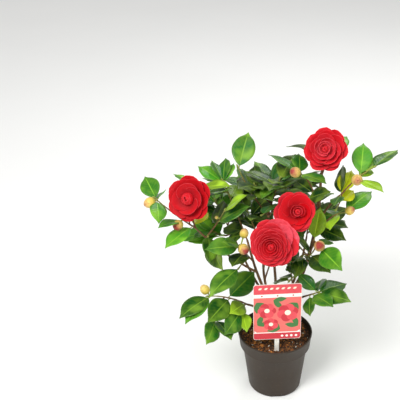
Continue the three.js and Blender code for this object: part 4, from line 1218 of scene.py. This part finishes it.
def blossom_piece():
    """Four blossoms of thin overlapping petals, joined"""
    heap = Heap("share", "across", "margin", "tone")
    quads = sheet_faces(len(PETAL_ALONG), len(PETAL_ACROSS))

    def add_petal(petal, reach, tone, rim, bright):
        front, share, across, margin = petal
        # Painted shade: each petal darkens towards its foot, most in the outer petals, whose feet lie deepest
        # in the cup; painted highlight along the rim
        painted_shade_share, pale = bright * mix(0.4 * (1 - reach), 1, share), rim * margin
        heap.add_sheet(front, PETAL_THICKNESS, quads, share=painted_shade_share, across=across, margin=pale, tone=tone)

    for order, (name, bloom) in enumerate(grown_blooms_places().items()):
        draw = seeded_random(BLOSSOM_SEED + order)
        radius, loose = bloom["radius"], LOOSENESS[name]
        aside, above = LEANS.get(name, (0, 0))
        lean = (bloom["right"] * aside + bloom["top"] * above) * radius
        for reach, height, spread, pale, flare, bearings in PETALS[name]:
            ring = dict(bloom, centre=bloom["centre"] + lean * min(1, (1 - reach) / LEANING_FROM))
            for bearing in bearings:
                turn = math.radians(bearing + 6 * loose * (draw() - 0.5))
                far = reach * radius * (1 + 0.06 * loose * (draw() - 0.5))
                high = height + 3 * loose * (draw() - 0.5)
                foot = (2.5 + 1.5 * reach, max(1 - CUP_DEPTH, high - 12))
                belly = (far * mix(1.25, 0.72, min(1, reach * 1.2)), mix(foot[1], high, mix(0.5, 0.3, reach)))
                half = far * math.radians(spread) * mix(0.94, 1.06, draw())
                profile = bent_profile(foot, belly, (far, high), flare)
                petal = petal_points(ring, profile, turn, half, PETAL_FALL, loose, draw)
                # The painted rim highlight is stronger on the paler petals
                rim = mix(0.3, 1, draw()) * mix(0.55, 1, min(1, 3 * pale))
                add_petal(petal, reach, pale * mix(0.6, 1, draw()), rim, BRIGHTNESS[name])
        share, before = HEARTS[name]
        heart = dict(bloom, centre=bloom["centre"] + lean + bloom["front"] * before)
        size = radius * share
        for count, first, end, wide in ((3, 10, 50, 1.0), (3, 75, 72, 0.96), (2, 30, 86, 0.92)):
            for bearing in even(count, first):
                profile = egg_profile(size * wide, 0.8, end)
                petal = petal_points(heart, profile, math.radians(bearing), size * 1.25)
                add_petal(petal, 0.5, 0.1, 0.6, 0.9)
        core = [heart["centre"] + bloom["front"] * size * reach for reach in (-0.8, 0, 0.6, 0.95)]
        core.insert(0, bloom["centre"] - bloom["front"] * CUP_DEPTH)
        heap.add(*tube(core, (3.5, size * 0.5, size * 0.8, size * 0.55, 0.5), 12), share=0.75)
    heap.piece("blossoms", [petal_material()], "petals", list(BLOOMS))


def bud_list():
    """Every flower bud: centre, axes, radius, the root of its stalk, and the mass it grows in"""
    buds = []
    for mass in grown_masses():
        for part in mass["shoots"]:
            for at, bearing, rise, stalk, radius, flush in part["buds"]:
                root = root_on(part["path"], at)
                front = heading(bearing, rise)
                right = unit(np.cross(front, (0.2, 0.3, 1)))
                buds.append({
                    "centre": root + front * (stalk + radius * BUD_ON_STALK), "front": front, "right": right,
                    "top": np.cross(front, right), "radius": radius, "root": root, "mass": mass["name"],
                    "flush": flush,
                })
    return buds


def bud_piece():
    """Flower buds of overlapping scales on short stalks, and the green scales behind each blossom, joined"""
    heap = Heap("share", "margin", "tone")
    quads = sheet_faces(len(PETAL_ALONG), len(PETAL_ACROSS))
    draw = seeded_random(BUD_SEED)
    buds = bud_list()
    for bud in buds:
        radius = bud["radius"]
        for count, end, size in ((4, -10, 1.0), (4, 28, 0.97), (3, 62, 0.94), (3, 90, 0.9)):
            for bearing in even(count, 360 * draw()):
                profile = egg_profile(radius * size, 0.25, end)
                front, share, _, margin = petal_points(bud, profile, math.radians(bearing), radius * 0.95)
                grown = (end - SCALE_FOOT) / (90 - SCALE_FOOT) * share
                heap.add_sheet(front, 0.4, quads, share=grown, margin=margin, tone=bud["flush"])
        neck = [bud["root"], bud["centre"] - bud["front"] * radius]
        heap.add(*tube(neck, (1.3, 1.7), 8), 1)
        reaches = (-0.9, -0.5, 0, 0.5, 0.8, 0.93)
        heart = [bud["centre"] + bud["front"] * radius * BUD_LENGTHENING * reach for reach in reaches]
        heap.add(*tube(heart, [radius * r for r in (0.3, 0.7, 0.8, 0.66, 0.4, 0.1)], 14), 2)
    for bloom in grown_blooms_places().values():
        behind = dict(bloom, centre=bloom["centre"] - bloom["front"] * (CUP_DEPTH - 2))
        for count, end, size in ((5, -30, 9.5), (5, -5, 9)):
            for i in range(count):
                turn = math.radians(36 * (count + i * 2) + end)
                front, share, _, margin = petal_points(behind, egg_profile(size, 0.4, end), turn, 6)
                heap.add_sheet(front, 0.5, quads, share=0.3 * share, margin=margin)
    tip = crumb_material("bud_tip_crimson", "8c1a1c", "c2403a", 0.6)
    names = sorted({bud["mass"] for bud in buds})
    heap.piece("flower_buds", [bract_material(), young_stem_material(), tip], "petals", names)


def pot_piece():
    """Pot: a straight taper under a wider collar, with a notched foot and drain holes"""
    settings = bpy.context.scene.camellia_pot
    rim, foot, body, collar = settings.rim_radius / MM, FOOT_RADIUS, BODY_TOP_RADIUS, COLLAR_FOOT_RADIUS
    base, top = COLLAR_FOOT, POT_HEIGHT
    profile = [
        (0.5, 0), (foot - 5, 0), (foot - 3, 0.3), (foot - 1.4, 1.2), (foot - 0.4, 3), (foot, 5),
        (mix(foot, body, 0.5), 53), (body, base - 1), (body + 0.4, base - 0.2), (collar - 0.8, base + 0.6),
        (collar - 0.1, base + 1.2), (collar + 0.1, base + 2.2), (rim - 1, top - 4.2), (rim - 0.5, top - 3.6),
        (rim, top - 2.6), (rim, top - 1.2), (rim - 0.4, top - 0.3), (rim - 1.1, top),
        (rim - WALL + 0.3, top - 0.1), (rim - WALL, top - 0.8), (collar - WALL, base + 4),
        (body - WALL, base + 1.5), (foot - WALL, FLOOR + 2), (foot - WALL - 2, FLOOR), (0.5, FLOOR),
    ]
    heap = Heap()
    heap.add(*lathe(profile, POT_SEGMENTS))
    # A plain moulding mark on the front, as wide as a finger
    mark = [(-7, 0), (7, 0), (7, 1.4), (-7, 1.4)]
    heap.add(*plate(mark, 0.9, (0, -(foot + 8.6), MARK_FOOT), -7))
    pot = heap.piece("nursery_pot", [pot_material((*settings.colour, 1.0))], "pot_plastic", ["pot"])
    cutters = Heap()
    for bearing in NOTCH_BEARINGS:
        across, out = heading(bearing + 90, 0) * NOTCH_WIDTH / 2, heading(bearing, 0)
        near, far = out * (foot - NOTCH_DEPTH), out * (foot + NOTCH_DEPTH)
        corners = [near - across, far - across, far + across, near + across]
        cutters.add([c + (0, 0, z) for z in (-NOTCH_HEIGHT, NOTCH_HEIGHT) for c in corners], BOX_FACES)
    for bearing in even(DRAIN_COUNT, 0):
        spot = heading(bearing, 0) * DRAIN_CIRCLE
        cutters.add(*tube([spot + (0, 0, -2), spot + (0, 0, FLOOR + 2)], (DRAIN_RADIUS, DRAIN_RADIUS), 20))
    cutter = cutters.piece("foot_cutter", [], "pot_plastic", smooth=False)
    cut = pot.modifiers.new("notches", "BOOLEAN")
    cut.object = cutter
    cut.operation = "DIFFERENCE"
    cut.solver = "EXACT"
    graph = bpy.context.evaluated_depsgraph_get()
    pot.data = bpy.data.meshes.new_from_object(pot.evaluated_get(graph))
    pot.modifiers.clear()
    bpy.data.objects.remove(cutter)
    pot.data.set_sharp_from_angle(angle=math.radians(40))


def plate(outline, thickness, place, turn):
    """Points and faces of a flat plate: an outline of (across, up), its front at a place, turned in plan"""
    t = math.radians(turn)
    across = np.array([math.cos(t), math.sin(t), 0])
    back = np.array([-math.sin(t), math.cos(t), 0])
    front = [np.asarray(place, float) + across * u + np.array([0, 0, v]) for u, v in outline]
    behind = [point + back * thickness for point in front]
    count = len(outline)
    faces = [tuple(range(count)), tuple(reversed(range(count, 2 * count)))]
    faces += [((i + 1) % count, i, count + i, count + (i + 1) % count) for i in range(count)]
    return front + behind, faces


def rounded(width, low, high, corner, lower=True, upper=True):
    """Outline of a rectangle whose lower or upper corners are rounded"""
    half, points = width / 2, []
    right = ((half, low, -90, lower), (half, high, 0, upper))
    left = ((-half, high, 90, upper), (-half, low, 180, lower))
    for x, y, first, is_round in right + left:
        if not is_round:
            points.append((x, y))
            continue
        cx, cy = x - math.copysign(corner, x), y + (corner if y == low else -corner)
        for i in range(7):
            angle = math.radians(first + 15 * i)
            points.append((cx + corner * math.cos(angle), cy + corner * math.sin(angle)))
    return points


def disc(x, y, radius, count=20):
    """Outline of a round spot"""
    angles = [2 * math.pi * i / count for i in range(count)]
    return [(x + radius * math.cos(a), y + radius * math.sin(a)) for a in angles]


def petal_spot(x, y, length, width, turn, count=16):
    """Outline of a leaf-shaped spot that starts at a point"""
    c, s = math.cos(math.radians(turn)), math.sin(math.radians(turn))
    spots = []
    for i in range(count):
        share = i / (count / 2)
        u = length * min(share, 2 - share)
        v = math.copysign(width / 2, 1 - share) * math.sin(math.pi * u / length)
        spots.append((x + u * c - v * s, y + u * s + v * c))
    return spots


def label_pieces():
    """A card on a flat stick, printed with a plain design of flowers and leaves in bands"""
    settings = bpy.context.scene.camellia_label
    turn = math.radians(CARD_TURN)
    back = np.array([-math.sin(turn), math.cos(turn), 0])
    front = np.array([*CARD_PLACE, CARD_FOOT], float)
    foot = np.array([*CARD_PLACE, STICK_FOOT], float) + back * (CARD_THICKNESS + GAP)
    stick = Heap()
    outline = rounded(STICK_WIDTH, 0, STICK_TOP - STICK_FOOT, STICK_CORNER)
    stick.add(*plate(outline, STICK_THICKNESS, foot, CARD_TURN))
    made = stick.piece("label_stick_white", [stick_material()], "label_stick", ["label_stick"], smooth=False)
    edge = made.modifiers.new("moulded_edge", "BEVEL")
    edge.width = 0.5 * MM
    edge.segments = 2

    card = Heap()
    card.add(*plate(rounded(CARD_WIDTH, 0, CARD_HEIGHT, CARD_CORNER), CARD_THICKNESS, front, CARD_TURN))
    inks = {
        "white": linear("f4efe6"), "coral": (*settings.print_colour, 1.0), "rose": linear("e46a62"),
        "crimson": linear("c62434"), "cream": linear("f3e6cf"), "green": linear("3a7434"),
    }
    numbers = {name: i for i, name in enumerate(inks)}

    def ink(outline, name, layer):
        level = INK_LAYER * layer
        card.add(*plate(outline, level, front - back * level, CARD_TURN), numbers[name])

    width = CARD_WIDTH - 1.2
    ink(rounded(width, 106, CARD_HEIGHT - 0.6, CARD_CORNER, lower=False), "coral", 1)
    ink(rounded(width, 17, 98, 1, lower=False, upper=False), "rose", 1)
    ink(rounded(width, 0.6, 15, CARD_CORNER, upper=False), "crimson", 1)
    for i in range(7):
        ink(petal_spot(11 * i - 37, 117, 8, 4.4, 25), "cream", 2)
    for x in (-30, 0, 30):
        ink(disc(x, 102, 1.6), "crimson", 2)
    # A garland of three simple flowers with leaves between them
    sprays = ((-40, 88, -60), (-38, 34, 40), (38, 84, 230), (40, 30, 140), (-8, 92, -20), (6, 24, 160))
    for x, y, lean in sprays:
        for bend in (-28, 28):
            ink(petal_spot(x, y, 26, 11, lean + bend), "green", 2)
    for order, (x, y, size) in enumerate(((-20, 68, 17), (20, 62, 20), (-12, 36, 14))):
        for i, bearing in enumerate(even(6, 17 * order)):
            out = size * 0.55 * heading(bearing, 0)
            petal = disc(x + out[0], y + out[1], size * 0.5)
            ink(petal, "coral" if i % 2 else "crimson", 3 + 0.4 * order + 0.1 * i)
        ink(disc(x, y, size * 0.3), "cream", 5 + 0.4 * order)
    for i in range(4):
        ink(disc(10 + 9 * i, 7.5, 2.6), "white", 2)
    for side in (-1, 1):
        ink([(side * 44, 15), (side * 44, 21), (side * 36, 15)][::-side], "white", 2)
    materials = [print_material("card_print_" + name, colour) for name, colour in inks.items()]
    card.piece("label_card_printed", materials, "label_card", ["label_card"], smooth=False)


def soil_height(x, y):
    """Height of the mix above its level top: heaped a little at the trunk and crumbly all over"""
    coarse = noise.noise(Vector((x * 0.05, y * 0.05, 3.7)))
    fine = noise.noise(Vector((x * 0.22, y * 0.22, 8.1)))
    return 2.2 * coarse + 1.4 * fine + 2.5 * math.exp(-(x * x + y * y) / 900)


def mix_pieces():
    """Potting mix: an uneven bed, bark chips and crumbs, grains of perlite and fibres"""
    bed, chips, fibres = Heap(), Heap(), Heap()
    inner = RIM_RADIUS - WALL - GAP - 1
    rings, spokes = BED_GRID
    points = []
    for i in range(rings + 1):
        for a in np.linspace(0, 2 * math.pi, spokes, endpoint=False):
            x, y = inner * max(i, 0.05) / rings * np.array([math.cos(a), math.sin(a)])
            points.append((x, y, MIX_TOP - 1.5 + soil_height(x, y)))
    points += [(x * 0.97, y * 0.97, MIX_TOP - 9) for x, y, _ in points[-spokes:]]
    # The bed's rings run outwards and then down, so its faces turn the other way
    bed.add(points, [face[:1] + face[:0:-1] for face in ring_faces(rings + 2, spokes)])
    bed.piece("mix_bed", [crumb_material("damp_peat", "20140c", "4a2e1a")], "potting_mix", ["potting_mix"])
    draw = seeded_random(MIX_SEED)

    def spot(reach):
        r, a = reach * math.sqrt(draw()), 2 * math.pi * draw()
        return r * math.cos(a), r * math.sin(a)

    def chip(x, y, size, flat, material):
        axes = [unit(np.array([draw() - 0.5, draw() - 0.5, 0.5 * (draw() - 0.5)])) for _ in range(2)]
        third = unit(np.cross(axes[0], axes[1]))
        second = np.cross(third, axes[0])
        extents = (size * mix(0.7, 1.3, draw()), size * mix(0.4, 0.8, draw()), size * flat)
        centre = np.array([x, y, MIX_TOP - 1.5 + soil_height(x, y) + 0.3 * size * flat])
        corners = []
        for sz in (-1, 1):
            for sx, sy in ((-1, -1), (1, -1), (1, 1), (-1, 1)):
                reach = [sign * extent / 2 for sign, extent in zip((sx, sy, sz), extents)]
                corners.append(centre + sum(
                    axis * far * mix(0.55, 1, draw()) for axis, far in zip((axes[0], second, third), reach)
                ))
        chips.add(corners, BOX_FACES, material)

    for _ in range(CRUMB_COUNT):
        x, y = spot(inner - 4)
        if math.hypot(x, y) > 9:
            chip(x, y, mix(1.5, 4.5, draw() ** 2), mix(0.35, 0.8, draw()), 0 if draw() < 0.6 else 1)
    for _ in range(CHIP_COUNT):
        x, y = spot(inner - 6)
        if math.hypot(x, y) > 12:
            chip(x, y, mix(4, 9, draw()), mix(0.2, 0.4, draw()), 1 if draw() < 0.5 else 2)
    for _ in range(PERLITE_COUNT):
        x, y = spot(inner - 5)
        chip(x, y, mix(1.6, 3, draw()), 0.9, 3)
    kinds = (
        ("peat_crumb", "2a1a0f", "53341d"), ("bark_chip_brown", "5a3216", "8c5426"),
        ("bark_chip_orange", "8a4f1e", "c07a36"), ("perlite_grain", "d8d2c4", "f2eee4"),
    )
    chips.piece("bark_chips", [crumb_material(*kind) for kind in kinds], "potting_mix", smooth=False)

    for _ in range(FIBRE_COUNT):
        x, y = spot(inner - 10)
        a, bend, length = 2 * math.pi * draw(), 2 * (draw() - 0.5), mix(6, 18, draw())
        path = []
        for s in np.linspace(0, 1, 6):
            px = x + length * s * math.cos(a + bend * s)
            py = y + length * s * math.sin(a + bend * s)
            if math.hypot(px, py) > inner - 2:
                px, py = px * 0.9, py * 0.9
            path.append((px, py, MIX_TOP - 0.6 + soil_height(px, py) + 1.6 * math.sin(math.pi * s)))
        fibres.add(*tube(path, [0.3] * len(path), 5))
    fibres.piece("coir_fibres", [crumb_material("coir_fibre", "7a4a22", "b07a42")], "potting_mix")


def stage_pieces():
    """Floor, lights and the camera at the photograph's angle"""
    settings = bpy.context.scene.camellia_stage
    mesh = bpy.data.meshes.new("floor")
    corners = [(x * FLOOR_REACH, y * FLOOR_REACH, 0) for x, y in ((-1, -1), (1, -1), (1, 1), (-1, 1))]
    mesh.from_pydata(corners, [], [(0, 1, 2, 3)])
    mesh.materials.append(floor_material((*settings.floor_colour, 1.0)))
    floor = linked("floor", mesh)

    world = bpy.data.worlds.new("studio")
    world.use_nodes = True
    surround = world.node_tree.nodes["Background"].inputs
    surround["Color"].default_value = (1, 1, 1, 1)
    surround["Strength"].default_value = settings.surround
    bpy.context.scene.world = world
    for name, place, size, share in LAMPS:
        light = bpy.data.lights.new(name, "AREA")
        light.shape = "DISK"
        light.size = size
        light.energy = settings.key_power * share
        lamp = linked(name, light)
        lamp.location = place
        lamp.rotation_euler = (Vector(LIT_PLACE) - Vector(place)).to_track_quat("-Z", "Y").to_euler()
    # A wide even light over the whole floor, as from a white ceiling
    ceiling = bpy.data.lights.new("ceiling", "SUN")
    ceiling.energy = settings.ceiling
    ceiling.angle = math.radians(CEILING_ANGLE)
    linked("ceiling", ceiling).rotation_euler = Vector(CEILING_WAY).to_track_quat("-Z", "Y").to_euler()

    yaw, pitch, roll = (math.radians(a) for a in CAMERA_TURN)
    forward = Vector((math.sin(yaw) * math.cos(pitch), math.cos(yaw) * math.cos(pitch), -math.sin(pitch)))
    right = forward.cross(Vector((0, 0, 1))).normalized()
    up = right.cross(forward)
    rolled = right * math.cos(roll) + up * math.sin(roll)
    upright = up * math.cos(roll) - right * math.sin(roll)
    data = bpy.data.cameras.new("camera")
    data.lens = CAMERA_LENS
    data.sensor_width = 36
    data.clip_start = 0.05
    data.clip_end = 100
    camera = linked("camera", data)
    turn = Matrix((rolled, upright, -forward)).transposed().to_4x4()
    camera.matrix_world = Matrix.Translation(CAMERA_PLACE) @ turn
    bpy.context.scene.camera = camera
    bpy.context.scene.view_settings.view_transform = "Standard"


# Settings, operators and the panel


def colour_property(name, description, code):
    return bpy.props.FloatVectorProperty(
        name=name, description=description, subtype="COLOR", size=3, min=0, max=1, default=linear(code)[:3],
    )


class CamelliaPotSettings(bpy.types.PropertyGroup):
    rim_radius: bpy.props.FloatProperty(
        name="Rim radius", description="Outer radius of the pot at its rim",
        subtype="DISTANCE", unit="LENGTH", default=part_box("pot")[1].x,
    )
    colour: colour_property("Plastic", "Colour of the moulded pot", "352b21")


class CamelliaLabelSettings(bpy.types.PropertyGroup):
    print_colour: colour_property("Print", "Main ink of the label", "de4650")


class CamelliaFoliageSettings(bpy.types.PropertyGroup):
    yellow: colour_property("Yellow leaves", "Tint of the youngest sprays", LEAF_TINTS["yellow"])
    lime: colour_property("Lime leaves", "Tint of young sprays", LEAF_TINTS["lime"])
    # The fresh and deep tints carry painted light and painted shade as well as the leaves' own colour
    fresh: colour_property("Fresh leaves", "Tint of sprays in full light", LEAF_TINTS["fresh"])
    mid: colour_property("Green leaves", "Tint of most sprays", LEAF_TINTS["mid"])
    deep: colour_property("Deep leaves", "Tint of the old inner sprays", LEAF_TINTS["deep"])


class CamelliaStageSettings(bpy.types.PropertyGroup):
    floor_colour: colour_property("Floor", "Colour of the studio floor", "f4f4f2")
    key_power: bpy.props.FloatProperty(
        name="Key light", description="Power of the largest lamp", subtype="POWER", unit="POWER", default=36,
    )
    ceiling: bpy.props.FloatProperty(
        name="Ceiling", description="Strength of the wide light from above", min=0, default=1.6,
    )
    surround: bpy.props.FloatProperty(
        name="Surround", description="Strength of the white surround", min=0, default=0.25,
    )


class PotOperator(bpy.types.Operator):
    """Build the pot"""

    bl_idname = "camellia.pot"
    bl_label = "Pot"

    def execute(self, context):
        pot_piece()
        return {"FINISHED"}


class MixOperator(bpy.types.Operator):
    """Fill the pot with potting mix"""

    bl_idname = "camellia.potting_mix"
    bl_label = "Potting mix"

    def execute(self, context):
        mix_pieces()
        return {"FINISHED"}


class LabelOperator(bpy.types.Operator):
    """Push the label on its stick into the mix"""

    bl_idname = "camellia.label"
    bl_label = "Label"

    def execute(self, context):
        label_pieces()
        return {"FINISHED"}


class LimbsOperator(bpy.types.Operator):
    """Grow the trunk and boughs with their bark"""

    bl_idname = "camellia.limbs"
    bl_label = "Trunk and boughs"

    def execute(self, context):
        limb_piece()
        return {"FINISHED"}


class TwigsOperator(bpy.types.Operator):
    """Grow the twigs"""

    bl_idname = "camellia.twigs"
    bl_label = "Twigs"

    def execute(self, context):
        twig_piece()
        return {"FINISHED"}


class LeavesOperator(bpy.types.Operator):
    """Grow the leaves"""

    bl_idname = "camellia.leaves"
    bl_label = "Leaves"

    def execute(self, context):
        leaf_pieces()
        return {"FINISHED"}


class BlossomsOperator(bpy.types.Operator):
    """Open the blossoms"""

    bl_idname = "camellia.blossoms"
    bl_label = "Blossoms"

    def execute(self, context):
        blossom_piece()
        return {"FINISHED"}


class BudsOperator(bpy.types.Operator):
    """Set the flower buds"""

    bl_idname = "camellia.buds"
    bl_label = "Buds"

    def execute(self, context):
        bud_piece()
        return {"FINISHED"}


class StageOperator(bpy.types.Operator):
    """Lay the floor and set the lights and the camera"""

    bl_idname = "camellia.stage"
    bl_label = "Stage"

    def execute(self, context):
        stage_pieces()
        return {"FINISHED"}


OPERATORS = (
    PotOperator, MixOperator, LabelOperator, LimbsOperator, TwigsOperator, LeavesOperator, BlossomsOperator,
    BudsOperator, StageOperator,
)
SETTINGS = {
    "camellia_pot": CamelliaPotSettings,
    "camellia_label": CamelliaLabelSettings,
    "camellia_foliage": CamelliaFoliageSettings,
    "camellia_stage": CamelliaStageSettings,
}


class CamelliaPanel(bpy.types.Panel):
    """Lists the plant's pieces and their settings"""

    bl_idname = "VIEW3D_PT_camellia"
    bl_label = "Potted camellia"
    bl_space_type = "VIEW_3D"
    bl_region_type = "UI"
    bl_category = "Plant"

    def draw(self, context):
        for name, group in SETTINGS.items():
            box = self.layout.box()
            for field in group.__annotations__:
                box.prop(getattr(context.scene, name), field)
        for operator in OPERATORS:
            self.layout.operator(operator.bl_idname)


def register():
    for cls in (*SETTINGS.values(), *OPERATORS, CamelliaPanel):
        bpy.utils.register_class(cls)
    for name, group in SETTINGS.items():
        setattr(bpy.types.Scene, name, bpy.props.PointerProperty(type=group))


def unregister():
    for name in SETTINGS:
        delattr(bpy.types.Scene, name)
    for cls in (CamelliaPanel, *reversed(OPERATORS), *reversed(list(SETTINGS.values()))):
        bpy.utils.unregister_class(cls)


def main():
    register()
    for operator in OPERATORS:
        getattr(bpy.ops.camellia, operator.bl_idname.split(".")[1])()


if __name__ == "__main__":
    main()
